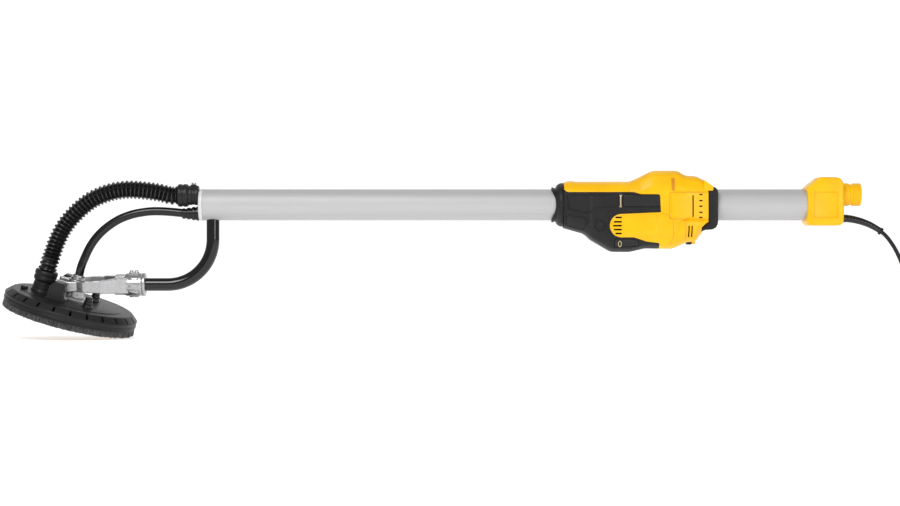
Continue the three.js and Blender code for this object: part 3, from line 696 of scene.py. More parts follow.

# %% [markdown]
# ## Dust hose
# Corrugated rubber hose arches from the pole end over the neck and down to the head. It is ribbed every
# seven and a half millimetres, so the sweep's radius rises and falls along its length. It bends when the
# fork turns and again when the head tilts, so it is made in two lengths.

# %% Hose route
hose_high = [(-436, 0, 257), (-456.9, 0, 257), (-468, 0, 257.1), (-489, 0, 261.8), (-518, 0, 265.9),
             (-546.5, 0, 267.4)]
hose_high += [(-568, 0, 265), (-582.5, 0, 261.4), (-597, 0, 256), (-611.3, 0, 248.8)]
hose_low = [(-625.7, 0, 238.4), (-640, 0, 225.4), (-654.5, 0, 209.2), (-665.3, 0, 193), (-675.5, 0, 171.4),
            (-683.5, -1, 149)]
hose_foot_x, hose_z = -57.5, 257
hose_foot = [(hose_foot_x, 0, z) for z in (89, 77.3, 66)]
hose_points = [spot(*p) for p in hose_high + hose_low] + [on_head(*p) for p in hose_foot]
split_point = hose_points[len(hose_high) - 1]
hose_step = 0.75
hose_line = smooth_line(hose_points, hose_step * mm)
hose_split = min(range(len(hose_line)), key=lambda i: (hose_line[i] - split_point).length)
print("hose line has", len(hose_line), "points")

# %% Ribbed hose
hose_crest, hose_root, hose_pitch = 17.1, 13.4, 7.5


def ribbed(run):
    """Broad round crests and narrow roots, metres from metres along the hose."""
    wave = 0.5 + 0.5 * math.cos(2 * math.pi * run / (hose_pitch * mm))
    return (hose_root + (hose_crest - hose_root) * wave ** 0.8) * mm


hose_upper = swept("hose_upper", hose_line[: hose_split + 1], ribbed, 48)
hose_upper_long = hose_split * (hose_line[1] - hose_line[0]).length
hose_lower = swept("hose_lower", hose_line[hose_split:], lambda run: ribbed(run + hose_upper_long), 48)
bend(hose_upper, hose_rubber, "dust_hose_upper")
bend(hose_lower, hose_rubber, "dust_hose_lower")
print("hose has", round(len(hose_line) * hose_step / hose_pitch), "ribs")

# %% [markdown]
# ## Drive casing
# A smooth rubber casing holds the flexible shaft that drives the disc. It leaves the pole under the hose
# and curves down into the gear nut on the head, made in two lengths like the hose.

# %% Casing route and surface
casing_high = [(-412, 0, 224.3), (-418.5, 0, 224.3), (-436, 0, 224.4), (-451, 0, 225.6), (-467.3, 0, 227.2),
               (-489, 0, 228.5)]
casing_high += [(-507, 0, 228.2), (-532, 0, 224.5), (-546.5, 0, 220.4), (-561, 0, 214.6),
                (-575.3, 0, 206.2)]
casing_low = [(-589.7, 0, 195.2), (-604, 0, 180.4), (-615, 0, 164.2), (-622.6, -0.5, 148.5)]
casing_foot = [(0, 0, 100), (0, 0, 84.3), (0, 0, 79)]
casing_line = smooth_line([spot(*p) for p in casing_high + casing_low] + [on_head(*p) for p in casing_foot],
                          2 * mm)
casing_split_point = spot(*casing_high[-1])
casing_split = min(range(len(casing_line)), key=lambda i: (casing_line[i] - casing_split_point).length)
casing_upper = swept("casing_upper", casing_line[: casing_split + 1], lambda run: casing_r * mm, 48)
casing_lower = swept("casing_lower", casing_line[casing_split:], lambda run: casing_r * mm, 48)
bend(casing_upper, casing_rubber, "shaft_casing_upper")
bend(casing_lower, casing_rubber, "shaft_casing_lower")
print("casing is", round(2 * casing_r, 1), "mm thick")

# %% [markdown]
# ## Cuffs and boot
# A stepped rubber cuff clamps the hose to the pole, another stands on the head, and a short ribbed boot
# stiffens the casing where it leaves the pole. The bands and ribs are what make them read as rubber.

# %% Upper cuff and its clamp screw
cuff_profile = [(0, 0), (19.2, 0), (20.3, 1.2), (20.5, 4), (20.5, 6.5), (19.6, 7.3), (19.6, 10),
                (20.5, 10.8), (20.5, 15.6)]
cuff_profile += [(19.8, 17.6), (17.9, 18.6), (17.5, 21), (17.5, 25.2), (16.6, 26), (16.6, 29.4),
                 (17.5, 30.2), (17.5, 36.6), (16.9, 37.4), (0, 37.4)]
cuff = turned("upper_cuff", cuff_profile, lying(-456.1, hose_z), 112, 0.5)
give(cuff, shroud_plastic, "pole", "black_rubber", "upper_hose_cuff")
clamp_profile = [(0, 0), (2.6, 0), (2.6, 2.4), (4.4, 3.0), (4.4, 5.4), (3.6, 6.2), (0, 6.2)]
clamp_head = turned("clamp_screw", clamp_profile, Matrix.Translation(spot(-428, 0, 273.8)), 40, 0.3)
carve(clamp_head, slab("cut", oblong(-432.8, -423.2, 278.9, 283), -0.5, 0.5))
give(clamp_head, bright_steel, "pole", "steel")
clamp_lug = slab("clamp_lug", rounded([(-434.5, 271), (-421.5, 271), (-422.5, 276.2), (-433.5, 276.2)], 2),
                 -5, 5)
ease_edges(clamp_lug, 0.8)
give(clamp_lug, hose_rubber, "pole", "black_rubber")
print("upper cuff has", len(cuff.data.polygons), "faces")

# %% Ribbed boot
boot_profile = [(0, 0), (8.6, 0), (9.4, 0.8), (9.9, 4.2), (8.9, 5.0), (8.9, 8.2), (10.4, 9.0), (11.0, 13.4),
                (10.0, 14.2), (10.0, 17.2)]
boot_profile += [(12.0, 18.0), (12.5, 22.2), (11.6, 23.0), (11.6, 25.2), (13.0, 26.0), (13.2, 30.1),
                 (0, 30.1)]
boot = turned("casing_boot", boot_profile, lying(-448.7, 224.3), 80, 0.4)
give(boot, casing_rubber, "pole", "black_rubber", "shaft_boot")
print("boot has", len(boot.data.polygons), "faces")

# %% Lower cuff on the head
dish_top = 36.8
low_cuff_profile = [(0, dish_top), (20.6, dish_top), (21.2, 38.2), (20.4, 40.8), (19.4, 42), (18.6, 50.5),
                    (17.9, 56.4), (18.4, 58.2)]
low_cuff_profile += [(20.2, 59.4), (20.6, 61.4), (20.6, 65), (19.8, 65.8), (19.8, 69.2), (20.6, 70),
                     (20.6, 74.6), (19.4, 76.8), (0, 76.8)]
low_cuff = turned("lower_cuff", low_cuff_profile, head_place @ Matrix.Translation((hose_foot_x * mm, 0, 0)),
                  96, 0.5)
give(low_cuff, shroud_plastic, "head", "black_rubber", "lower_hose_cuff")
print("cuffs and boot are on")

# %% [markdown]
# ## Fork and spindle bracket
# Both are aluminium castings: thick, with soft edges, a slightly grainy skin and machined bosses. A
# close voxel skin of the plain shape, smoothed a little, gives those edges, and the bolts go on after.

# %% Castings
fork_casting = softened("fork_cast", "fork_casting", 0.9, 5)
give(fork_casting, cast_metal, "fork", "cast_aluminium", "fork_casting")
bracket = softened("bracket_cast", "spindle_bracket", 0.9, 5)
give(bracket, cast_metal, "head", "cast_aluminium", "spindle_bracket")


def bolt(name, place, radius, height, body, socket=True):
    """A cap bolt with a washer and a hexagon socket, standing up its own Z axis."""
    washer = 1.1
    profile = [(0, -6), (radius * 0.5, -6), (radius * 0.5, 0), (radius * 1.35, 0), (radius * 1.35, washer),
               (radius, washer + 0.2)]
    profile += [(radius, height - 0.6), (radius - 0.6, height), (0, height)]
    piece = turned(name, profile, Matrix.Identity(4), 48, 0.25)
    if socket:
        key = [(radius * 0.55 * math.cos(k * math.pi / 3),
                radius * 0.55 * math.sin(k * math.pi / 3)) for k in range(6)]
        carve(piece, slab("cut", key, height - 2.2, height + 2, Matrix.Identity(4)))
    piece.data.transform(place)
    return give(piece, bright_steel, body, "steel")


print("fork casting has", len(fork_casting.data.polygons), "faces")

# %% Bolts in the fork collar and in the bracket
for k, x in enumerate((-4.5, 4.5)):
    bolt(f"collar_bolt_{k + 1}", fork_place @ Matrix.Translation((x * mm, 0, 22.6 * mm)), 2.9, 3.6, "fork")
bracket_bolts = [(-28, 20), (27, 20), (-28, -20), (27, -20)]
for k, (x, y) in enumerate(bracket_bolts):
    bolt(f"bracket_bolt_{k + 1}", head_place @ Matrix.Translation((x * mm, y * mm, 43.4 * mm)), 3.4, 4.4,
         "head")
ring_profile = [(12.1, 15), (20.2, 15), (21, 16.2), (21, 19.4), (20.2, 20.6), (12.1, 20.6), (12.1, 15)]
ring_place = fork_place @ Matrix.Rotation(math.pi / 2, 4, "Y")
collar_ring = turned("fork_collar_ring", ring_profile, ring_place, 96, 0.4)
give(collar_ring, cast_metal, "fork", "cast_aluminium")
print(len(bracket_bolts), "bolts in the bracket")

# %% Ribs round the collar
collar_bars = []
for k in range(10):
    turn = Matrix.Rotation(2 * math.pi * (k + 0.5) / 10, 4, "X")
    bar = slab("bar", rounded([(-9.5, 18.5), (8.5, 18.5), (8.5, 22.6), (-3, 22.6), (-9.5, 20.4)], 1.2),
               -2.2, 2.2, turn @ Matrix.Rotation(math.pi / 2, 4, "X"))
    ease_edges(bar, 0.7, 3)
    collar_bars.append(bar)
collar_ribs = joined("fork_collar_ribs", collar_bars)
collar_ribs.data.transform(fork_place)
give(collar_ribs, cast_metal, "fork", "cast_aluminium")
print(len(collar_bars), "ribs round the collar")

# %% Pivot pins
pin_reach = 129.5
for name, side in (("pivot_pin_near", -1), ("pivot_pin_far", 1)):
    pin = turned(name + "_skin", [(0, 21.3), (4.4, 21.3), (5, 22), (5, 59.3), (4.4, 60), (0, 60)],
                 fork_place @ Matrix.Translation((-pin_reach * mm, 0, 0)) @ outward(side), 48, 0.2)
    give(pin, bright_steel, "fork", "steel", name)
print("castings and bolts are on")

# %% Spindle bearing and shaft nut
nut_profile = [(0, 75.3), (12.4, 75.3), (13, 76), (13, 79), (11.4, 79.8), (10.6, 80.4), (10.5, 83.6),
               (9.9, 84.2), (0, 84.2)]
nut = turned("shaft_nut_skin", nut_profile, head_place, 96, 0.3)
give(nut, bright_steel, "head", "steel", "shaft_nut")
repaint("spindle_bearing", bright_steel)
print("nut has", len(nut.data.polygons), "faces")

# %% [markdown]
# ## Pivot blocks and bumpers
# Two rubber-edged blocks on the shroud hold the fork's pins, and two short ribbed rubber feet behind them
# stop the fork when the head tips back.

# %% Pivot blocks
block_side = placed_by(head_ahead, spin_axis, -pin_axis, head_origin)
for name, side in (("pivot_block_near", -1), ("pivot_block_far", 1)):
    inner, outer = 41.8, 68.0
    low, high = sorted((-side * inner, -side * outer))
    outline = rounded([(-42, dish_top), (-8, dish_top), (-8, 40), (-11, 42), (-11, 69), (-14, 71.5),
                       (-30, 71.5),
                       (-38.5, 62), (-39, 42), (-42, 40)], 2)
    block = slab(name + "_skin", outline, low, high, block_side)
    bore_place = head_place @ Matrix.Translation((-pin_back, 0, pin_up)) @ outward(side)
    carve(block, rod(5.3, 38, 60.3, bore_place, 48))
    ease_edges(block, 1.3, 4)
    low, high = sorted((-side * (outer - 0.8), -side * (outer + 2)))
    recess = rounded([(-35, 46), (-15, 46), (-15, 66), (-29, 66), (-35, 59)], 2.5)
    carve(block, slab("cut", recess, low, high, block_side))
    give(block, shroud_plastic, "head", "black_plastic", name)
print("blocks stand from", inner, "to", outer, "mm out")

# %% Bumpers
bumper_profile = [(0, dish_top), (10.2, dish_top), (10.2, 38.4), (8.9, 39.2), (8.7, 42.2), (7.7, 42.8),
                  (7.7, 44.2),
                  (8.3, 44.9), (7.9, 48)]
bumper_profile += [(6.9, 48.6), (6.9, 50), (7.4, 50.6), (6.7, 55), (5.4, 56.5), (0, 56.5)]
for name, side in (("bumper_near", -1), ("bumper_far", 1)):
    bumper_place = head_place @ Matrix.Translation((33 * mm, side * 45 * mm, 0))
    bumper = turned(name + "_skin", bumper_profile, bumper_place, 64, 0.3)
    give(bumper, hose_rubber, "head", "black_rubber", name)
print("blocks and bumpers are on")

# %% [markdown]
# ## Shroud
# The dust shroud is a moulded dish over the pad: a slightly raised top, a sloping shoulder broken by a ring
# of slots, and a straight skirt that holds the brush. The slots are cut right through the shoulder.

# %% Shroud dish
shroud_profile = [(115.6, 15.4), (120.4, 15.4), (121, 16.2), (121, 18.6), (120.2, 19.2), (120.2, 23.6),
                  (121, 24.3), (121, 25.6)]
shroud_profile += [(120.3, 26.8), (110.6, 35.6), (108.6, 36.45), (70, 36.5), (40, 36.5), (15.2, 36.5),
                   (15.2, 33.1), (106.5, 33.1), (115.6, 24.9), (115.6, 15.4)]
shroud = turned("shroud_dish", shroud_profile, Matrix.Identity(4), 240, 0.5)
slot_count, slot_long, slot_wide = 24, 11.5, 4.2
slot_hole = rounded(oblong(-slot_long / 2, slot_long / 2, -slot_wide / 2, slot_wide / 2), 1.0)
cutters = []
for k in range(slot_count):
    turn = Matrix.Rotation(2 * math.pi * (k + 0.5) / slot_count, 4, "Z")
    lean = turn @ Matrix.Translation((115.4 * mm, 0, 31.2 * mm)) @ Matrix.Rotation(math.radians(42), 4, "Y")
    cutters.append(slab("cut", slot_hole, -8.0, 6.0, lean))
carve(shroud, joined("cutters", cutters))
carve(shroud, rod(13.2, 30, 40, Matrix.Translation((hose_foot_x * mm, 0, 0)), 64))
shroud.data.transform(head_place)
give(shroud, shroud_plastic, "head", "black_plastic", "shroud")
print("dish has", len(shroud.data.polygons), "faces")

# %% Raised middle and hose clip on the dish
rise_profile = [(15.2, 36.6), (60, 36.6), (90, 36.6), (88.5, 37.6), (60, 38.2), (15.2, 38.2), (15.2, 36.6)]
plate_ring = turned("shroud_plate", rise_profile, Matrix.Identity(4), 200, 0.4)
carve(plate_ring, rod(21.4, 30, 45, Matrix.Translation((hose_foot_x * mm, 0, 0)), 72))
plate_holes = [oblong(-35, 36, -30.5, 30.5), oblong(-43, -7, -69, -41), oblong(-43, -7, 41, 69),
               oblong(22, 44, -56, -34), oblong(22, 44, 34, 56)]
for hole in plate_holes:
    carve(plate_ring, slab("cut", rounded(hole, 1), 30, 45, Matrix.Identity(4)))
plate_ring.data.transform(head_place)
give(plate_ring, shroud_plastic, "head", "black_plastic")
clip_tab = slab("shroud_clip", rounded(oblong(-94, -82, -20, -8), 2.5), 36.6, 42.5, head_place)
ease_edges(clip_tab, 1.2, 3)
give(clip_tab, shroud_plastic, "head", "black_plastic")
print("shroud has", slot_count, "slots")

# %% [markdown]
# ## Brush skirt
# A ring of stiff bristle seals the shroud against the wall. It is set in a thin holder, and each tuft is
# its own little tapered bundle that leans a bit, so the edge looks like brush and not like a band.

# %% Bristle tufts
tuft_random = random.Random(7)
skirt_low, skirt_high = 0.35, 15.2
tuft_count, tuft_sides, row_radii = 250, 5, (115.4, 117.1, 118.8)
points, faces = [], []
for row, radius in enumerate(row_radii):
    for k in range(tuft_count):
        turn = 2 * math.pi * (k + row / 3 + tuft_random.uniform(-0.2, 0.2)) / tuft_count
        lean = tuft_random.uniform(-0.6, 0.6)
        splay = tuft_random.uniform(-0.3, 0.9) if row == 2 else tuft_random.uniform(-0.4, 0.4)
        foot = skirt_low + tuft_random.uniform(0, 1.8)
        for height, thick, share in ((skirt_high, 0.75, 0.0), (7.5, 0.95, 0.45), (foot + 0.8, 1.0, 0.95),
                                     (foot, 0.55, 1.0)):
            reach = radius + splay * share
            angle = turn + lean * share / radius
            middle_x, middle_y = reach * math.cos(angle), reach * math.sin(angle)
            for side in range(tuft_sides):
                around = 2 * math.pi * side / tuft_sides
                points.append(Vector((middle_x + thick * math.cos(around),
                                      middle_y + thick * math.sin(around), height)))
        first = len(points) - 4 * tuft_sides
        faces.append(tuple(first + side for side in range(tuft_sides)))
        faces.append(tuple(first + 3 * tuft_sides + side for side in range(tuft_sides)))
        for ring in range(3):
            for side in range(tuft_sides):
                a = first + ring * tuft_sides + side
                b = first + ring * tuft_sides + (side + 1) % tuft_sides
                faces.append((a, b, b + tuft_sides, a + tuft_sides))
tufts = new_piece("bristle_tufts", [head_place @ (point * mm) for point in points], faces)
give(tufts, bristle_black, "head", "bristle", "brush_skirt")
holder = turned("bristle_holder", [(114.2, 11.6), (119.4, 11.6), (120, 12.2), (120, 14.6), (119.4, 15.2),
                                   (114.2, 15.2), (114.2, 11.6)], head_place, 200, 0.2)
give(holder, shroud_plastic, "head", "black_plastic")
print(tuft_count * len(row_radii), "tufts")

# %% [markdown]
# ## Pad
# Under the shroud a spindle carries a backing plate, a soft foam pad and the sanding disc. The foam is
# cut from sheet, so its face is cellular, and the disc is paper with a coat of grit.

# %% Backing plate, foam and disc
plate_profile = [(0, 14.0), (107.2, 14.0), (108, 14.7), (108, 17.2), (106.8, 18), (40, 18.2), (36, 19),
                 (0, 19)]
give(turned("backing_plate_skin", plate_profile, head_place, 160, 0.3), shroud_plastic, "pad",
     "black_plastic", "backing_plate")
foam_profile = [(0, 2.1), (110.6, 2.1), (111.4, 3.2), (111.5, 12.4), (110.8, 13.7), (0, 13.7)]
give(turned("foam_skin", foam_profile, head_place, 160, 0.4), pad_foam, "pad", "foam", "foam_pad")
disc_r = 112.5
disc_profile = [(0, 0.5), (112.3, 0.5), (disc_r, 0.7), (disc_r, 1.6), (112.3, 1.75), (0, 1.75)]
disc = turned("disc_skin", disc_profile, head_place, 160)
give(disc, sanding_grit, "pad", "abrasive", "abrasive_disc")
repaint("pad_spindle", bright_steel)
print("pad is", 2 * disc_r, "mm across")

# %% [markdown]
# ## Motor housing
# The body is moulded in two halves, yellow plastic with a charcoal rubber overmould. One smooth outer
# form is lofted first, from its top line, bottom line and half width. Everything visible is then cut from
# that form, so all the pieces share one flowing surface, as they do when one mould makes them.

# %% Outer form
body_top = [(236, 279.4), (247, 283), (258, 281.2), (354, 281.2), (372, 289), (393, 300), (403, 301),
            (436, 301), (442, 300), (453, 292.5), (474, 291), (488, 284), (497, 279)]
body_bottom = [(236, 198.5), (274, 187.6), (285, 177), (307, 164.2), (320, 156.4), (326, 155.2),
               (355, 155.2), (382, 161.6), (431, 160.8), (447, 167.8), (457, 173), (474, 173.2), (481, 187),
               (497, 193.8)]
body_half = [(200, 38.5), (258, 41), (317, 44), (393, 46), (442, 46), (474, 41), (497, 38)]
loft_sides, loft_step = 160, 1.4
body_start, body_end = 236.8, 494.0
half_section = [(0, 1), (0.5, 1), (0.79, 0.90), (1, 0.60), (1, -0.60), (0.79, -0.90), (0.5, -1), (0, -1)]
section = rounded(half_section + [(-y, z) for y, z in reversed(half_section[1:-1])], 0.09, 4)
section = [p.xy for p in spaced([Vector((*p, 0)) for p in section + section[:1]], 0.0001)]
section = [section[round(k * (len(section) - 1) / loft_sides)] for k in range(loft_sides)]
print("section has", len(section), "points")

# %% Soft steps along the body


def level(curve, x, spread=4.0):
    """A value read from a broken line, softened over spread millimetres either side."""
    total = 0.0
    for shift in (-1.0, -0.5, 0.0, 0.5, 1.0):
        at = x + shift * spread
        if at <= curve[0][0]:
            total += curve[0][1]
            continue
        for (x0, v0), (x1, v1) in zip(curve, curve[1:]):
            if at <= x1:
                total += v0 + (v1 - v0) * (at - x0) / (x1 - x0)
                break
        else:
            total += curve[-1][1]
    return total / 5


def step_up(value, edge, soft=1.2):
    """Rises smoothly from 0 to 1 as value passes edge."""
    t = min(1.0, max(0.0, (value - edge) / soft + 0.5))
    return t * t * (3 - 2 * t)


print("half width at the motor is", round(level(body_half, 393, 12), 1), "mm")

# %% Relief of the walls
motor_x, motor_z, motor_arc = 345.0, 200.0, 60.0
nose_x, nose_z, nose_r = 338.8, 202.1, 20.8


def relief(x, z):
    """How far the near and far walls stand proud of the plain form, in millimetres."""
    gear_step = -1.6 * (1 - step_up(x, 285, 5)) * step_up(262 - z, 0, 6)
    cover = 2.2 * step_up(x, 427) * (1 - step_up(x, 497)) * step_up(z, 214) * (1 - step_up(z, 262))
    arc = math.hypot(x - motor_x, z - motor_z)
    bulge = 1.6 * (1 - step_up(arc, motor_arc, 3)) * step_up(x, 338, 4) * step_up(z, 176, 3)
    rear = -2.2 * step_up(x, 481, 4) * (1 - step_up(z, 208, 3))
    reach = math.hypot(min(0.0, x - nose_x) + max(0.0, x - 424.0), z - nose_z)
    plate = 1.9 * (1 - step_up(reach, nose_r - 2.6, 3.6)) * step_up(x, nose_x - nose_r - 4, 2)
    band = -2.0 * (1 - step_up(x, 370, 7)) * step_up(z, 263, 2)
    facet = -6.4 * step_up(x, 441, 22) * (1 - step_up(z, 212, 4))
    return gear_step + cover + bulge + rear + plate + band + facet


print("the motor stands", round(relief(393, 200), 1), "mm proud")

# %% Lofting the body


def body_form(name, inward):
    """The closed outer form, shrunk by inward millimetres."""
    points, faces = [], []
    count = round((body_end - body_start) / loft_step)
    for i in range(count + 1):
        x = body_start + (body_end - body_start) * i / count
        top, bottom = level(body_top, x) - inward, level(body_bottom, x) + inward
        half = level(body_half, x, 12) - inward
        centre, rise = (top + bottom) / 2, (top - bottom) / 2
        for wide, tall in section:
            z = centre + tall * rise
            flat = step_up(abs(wide), 0.88, 0.2)
            lift = relief(x, z) * flat if inward <= 0 else 0
            points.append(spot(x, wide * half + math.copysign(lift, wide), z))
    for i in range(count):
        for k in range(loft_sides):
            a, b = i * loft_sides + k, i * loft_sides + (k + 1) % loft_sides
            faces.append((a, b, b + loft_sides, a + loft_sides))
    faces.append(tuple(range(loft_sides)))
    faces.append(tuple(range(len(points) - loft_sides, len(points))))
    return new_piece(name, points, faces)


outer = body_form("body_outer", 0)
print("body form has", len(outer.data.polygons), "faces")

# %% Grip outline
grip_outline = rounded([(218, 320), (227.5, 320), (229.7, 272.5), (241.5, 262.2), (360.5, 262.2),
                        (373.4, 258.2), (407, 258.2), (409, 225.9)], 4, 4, False)
grip_outline += [(nose_x, nose_z + nose_r)]
for k in range(1, 24):
    turn = math.radians(90 + 180 * k / 24)
    grip_outline.append((nose_x + nose_r * math.cos(turn), nose_z + nose_r * math.sin(turn)))
grip_outline += rounded([(338.8, 181.3), (361.5, 181.3), (384.3, 173.8), (407, 171.2), (407, 130),
                         (218, 130)], 3, 4, False)
reach_y = 80.0
print("grip outline has", len(grip_outline), "points")

# %% [markdown]
# The overmould is broken up by moulded grooves that frame its panels, and a bar and a ring mark on and off.
# Each one is laid on the wall by dropping it onto the surface, so it follows the curve.

# %% Laying things on the wall


def wall_tree():
    work = bmesh.new()
    work.from_mesh(outer.data)
    tree = BVHTree.FromBMesh(work)
    work.free()
    return tree


wall = wall_tree()


def on_wall(x, z, proud=0.0, near=True):
    """The point of the wall at this x and z, lifted by proud millimetres."""
    out = -1 if near else 1
    start = spot(x, out * 90, z)
    hit = wall.ray_cast(start, Vector((0, -out, 0)))[0]
    return hit + Vector((0, out, 0)) * proud * mm


def bead(name, points, width, proud, near=True, closed=False):
    """A thin raised line that follows the wall through (x, z) points."""
    corners = [Vector((x, 0, z)) for x, z in points + (points[:1] if closed else [])]
    line = [on_wall(p.x, p.z, proud, near) for p in spaced(corners, 1.2)]
    if closed:
        line.pop()
    return swept(name, line, lambda run: width * mm / 2, 12, closed=closed)


def patch(name, outline, proud, depth, near=True, step=1.5):
    """A thin plate of this outline that follows the wall."""
    edge = [Vector((x, 0, z)) for x, z in outline]
    edge = spaced(edge + edge[:1], step)[:-1]
    middle = sum(edge, Vector()) / len(edge)
    points, faces, rings = [], [], []
    for share in (1.0, 0.75, 0.5, 0.25):
        for lift in (proud, proud - depth):
            rings.append((share, lift, len(points)))
            points += [on_wall(*((middle.lerp(p, share)).xz), lift, near) for p in edge]
    count = len(edge)
    fronts = [start for share, lift, start in rings if lift == proud]
    backs = [start for share, lift, start in rings if lift != proud]
    for k in range(count):
        n = (k + 1) % count
        for a, b in list(zip(fronts, fronts[1:])) + list(zip(backs, backs[1:])):
            faces.append((a + k, a + n, b + n, b + k))
        faces.append((fronts[0] + k, fronts[0] + n, backs[0] + n, backs[0] + k))
    faces.append(tuple(fronts[-1] + k for k in range(count)))
    faces.append(tuple(backs[-1] + k for k in range(count)))
    return new_piece(name, points, faces)


print("the wall is ready to lay things on")

# %% [markdown]
# The window in the yellow shell has a crisp edge with a thin dark joint line round it. Cutting the yellow
# with the outline, and the rubber with the same outline shrunk a little, leaves that line by itself.

# %% Yellow shell and rubber cover
def shrunk(outline, by):
    """An outline moved inwards by so many millimetres."""
    area = sum(a[0] * b[1] - b[0] * a[1] for a, b in zip(outline, outline[1:] + outline[:1]))
    turned_way = 1 if area > 0 else -1
    moved = []
    for i, (x, z) in enumerate(outline):
        before, after = outline[i - 1], outline[(i + 1) % len(outline)]
        along = Vector((after[0] - before[0], after[1] - before[1]))
        if along.length < 1e-9:
            continue
        inwards = Vector((-along.y, along.x)).normalized() * turned_way
        moved.append((x + inwards.x * by, z + inwards.y * by))
    return moved


vents = [(327.5, 216.8), (324.8, 208.9), (323.6, 202.0), (324.8, 195.1), (327.5, 188.1)]
wall_thick = 3.2
liner = body_form("body_liner", wall_thick)
yellow = body_form("body_yellow", 0)
carve(yellow, slab("cut", grip_outline, -reach_y, reach_y))
grip = body_form("body_grip", 0)
carve(grip, slab("keep", shrunk(grip_outline, 0.35), -reach_y, reach_y), "INTERSECT")


def opening(x0, x1, z0, z1):
    """A cutter for one round-ended slot in the near wall."""
    ease = 0.45 * min(x1 - x0, z1 - z0)
    return slab("cut", rounded(oblong(x0, x1, z0, z1), ease), 30, reach_y)


rear_cutters = [opening(x0, 339.2, z - 1.5, z + 1.5) for x0, z in vents]
rear_cutters += [opening(465, 467.4, 217.3, 256.9), opening(457.4, 459.9, 181.7, 202),
                 opening(462.9, 465.4, 181.7, 202)]
rear_cutters += [opening(477.3, 483.4, z - 1.3, z + 1.3) for z in (257.8, 246.8, 236.8, 226.0, 216.8)]
carve(yellow, joined("cutters", rear_cutters))
rear_corner = [(482.1, 190), (500, 190), (500, 212), (494, 209.4), (488.6, 205.9), (482.1, 199.2)]
carve(yellow, slab("cut", rear_corner, -reach_y, reach_y))
groove_lines = [
    [(242.0, 256.6), (333.5, 258.0), (333.5, 236.2), (296, 234.6), (287, 229.5), (281.0, 223.6),
     (244.5, 232.4)],
    [(240.5, 222.6), (276.0, 215.4), (277.8, 210.6), (271.5, 195.6), (266, 195.6), (240.5, 202.0)],
    [(294, 213.0), (307.5, 209.5), (309.5, 205.5), (309.5, 197.0), (300, 190.5), (291, 202)],
    [(321, 163.4), (374, 164.0), (376.5, 172.5), (361, 179.3), (322, 179.3)],
]
print("yellow", len(yellow.data.polygons), "grip", len(grip.data.polygons))


# %% Halves along the seam
hairline = 0.12


def half_of(piece, name, near, inside):
    """One half of a closed piece, with an inner wall taken out and a hairline left at the seam."""
    half = bpy.data.objects.new(name, piece.data.copy())
    bpy.context.scene.collection.objects.link(half)
    low, high = (hairline, 2 * reach_y) if near else (-2 * reach_y, -hairline)
    carve(half, slab("keep", oblong(200, 540, 120, 330), low, high), "INTERSECT")
    core = bpy.data.objects.new("core", inside.data.copy())
    bpy.context.scene.collection.objects.link(core)
    carve(half, core)
    return half


shell_halves, grip_halves = {}, {}
for side in ("near", "far"):
    shell_halves[side] = half_of(yellow, "shell_" + side, side == "near", liner)
    grip_halves[side] = half_of(grip, "grip_" + side, side == "near", liner)
for spare in (yellow, grip):
    bpy.data.objects.remove(spare)
dial_x, dial_z = 438.0, 236.0
dial_place = Matrix.Translation(spot(dial_x, 0, dial_z)) @ outward(1)
carve(shell_halves["far"], rod(15.6, 20, 70, dial_place, 80))
print("halves are", 2 * hairline, "mm apart")

# %% Windows for the two pads
on_outline = rounded([(341.5, 236.2), (406.5, 236.2), (407.4, 237.5), (407.4, 255.5), (406.4, 256.8),
                      (341.5, 256.8)], 2.5)
off_outline = rounded([(326.9, 163.9), (368.4, 165.9), (370.4, 167.8), (368.4, 174.8), (356.6, 177.7),
                       (326.9, 177.7)], 2)
for outline in (on_outline, off_outline):
    window = shrunk(outline, -0.9)
    carve(grip_halves["near"], slab("cut", window, 5, reach_y))
for k, line in enumerate(groove_lines):
    for side in ("near", "far"):
        if side == "far" or k < 3:
            groove = bead("cut", rounded(line, 3.5), 2.8, 0.3, side == "near", True)
            carve(grip_halves[side], groove)
for reach in (25.5, 32):
    arc = [(nose_x + reach * math.cos(math.radians(t)),
            nose_z + reach * math.sin(math.radians(t))) for t in range(100, 256, 6)]
    carve(grip_halves["near"], bead("cut", arc, 1.3, 0.1))
for side in ("near", "far"):
    give(shell_halves[side], yellow_plastic, "pole", "yellow_plastic", "housing_shell_" + side)
    give(grip_halves[side], grip_rubber, "pole", "black_rubber", "grip_cover_" + side)
# A dark lining just inside the yellow wall is painted shade, seen through the slots.
painted_shade_lining = body_form("inner_liner_skin", 3.4)
inner_core = body_form("core", 4.6)
carve(painted_shade_lining, inner_core)
print("halves are cut")

# %% [markdown]
# The dark you see through the slots is painted shade: a thin dark lining stands just inside the shell, so the
# slots read as deep holes and the motor's copper doesn't glow through.

# %% Lining in painted shade, and pads
liner_window = slab("cut", oblong(215, 250, 130, 320), -reach_y, reach_y)
carve(painted_shade_lining, liner_window)
for outline in (on_outline, off_outline):
    carve(painted_shade_lining, slab("cut", shrunk(outline, -1.6), 5, reach_y))
give(painted_shade_lining, black_and_painted_shade, "pole", "black_plastic")
bpy.data.objects.remove(liner)


def side_pad(name, outline, proud):
    """A pad cut from the same flowing form as the wall round it, standing a little proud."""
    pad = body_form(name, -proud)
    carve(pad, slab("keep", outline, 18, reach_y), "INTERSECT")
    core = body_form("core", 3.0)
    carve(pad, core)
    ease_edges(pad, 0.5, 2, 50)
    return pad


on_pad = side_pad("on_pad_skin", on_outline, 0.7)
give(on_pad, pad_rubber, "on_button", "black_plastic", "on_pad")
off_pad = side_pad("off_pad_skin", off_outline, 0.7)
give(off_pad, pad_rubber, "off_button", "black_plastic", "off_pad")
print("pads are in")

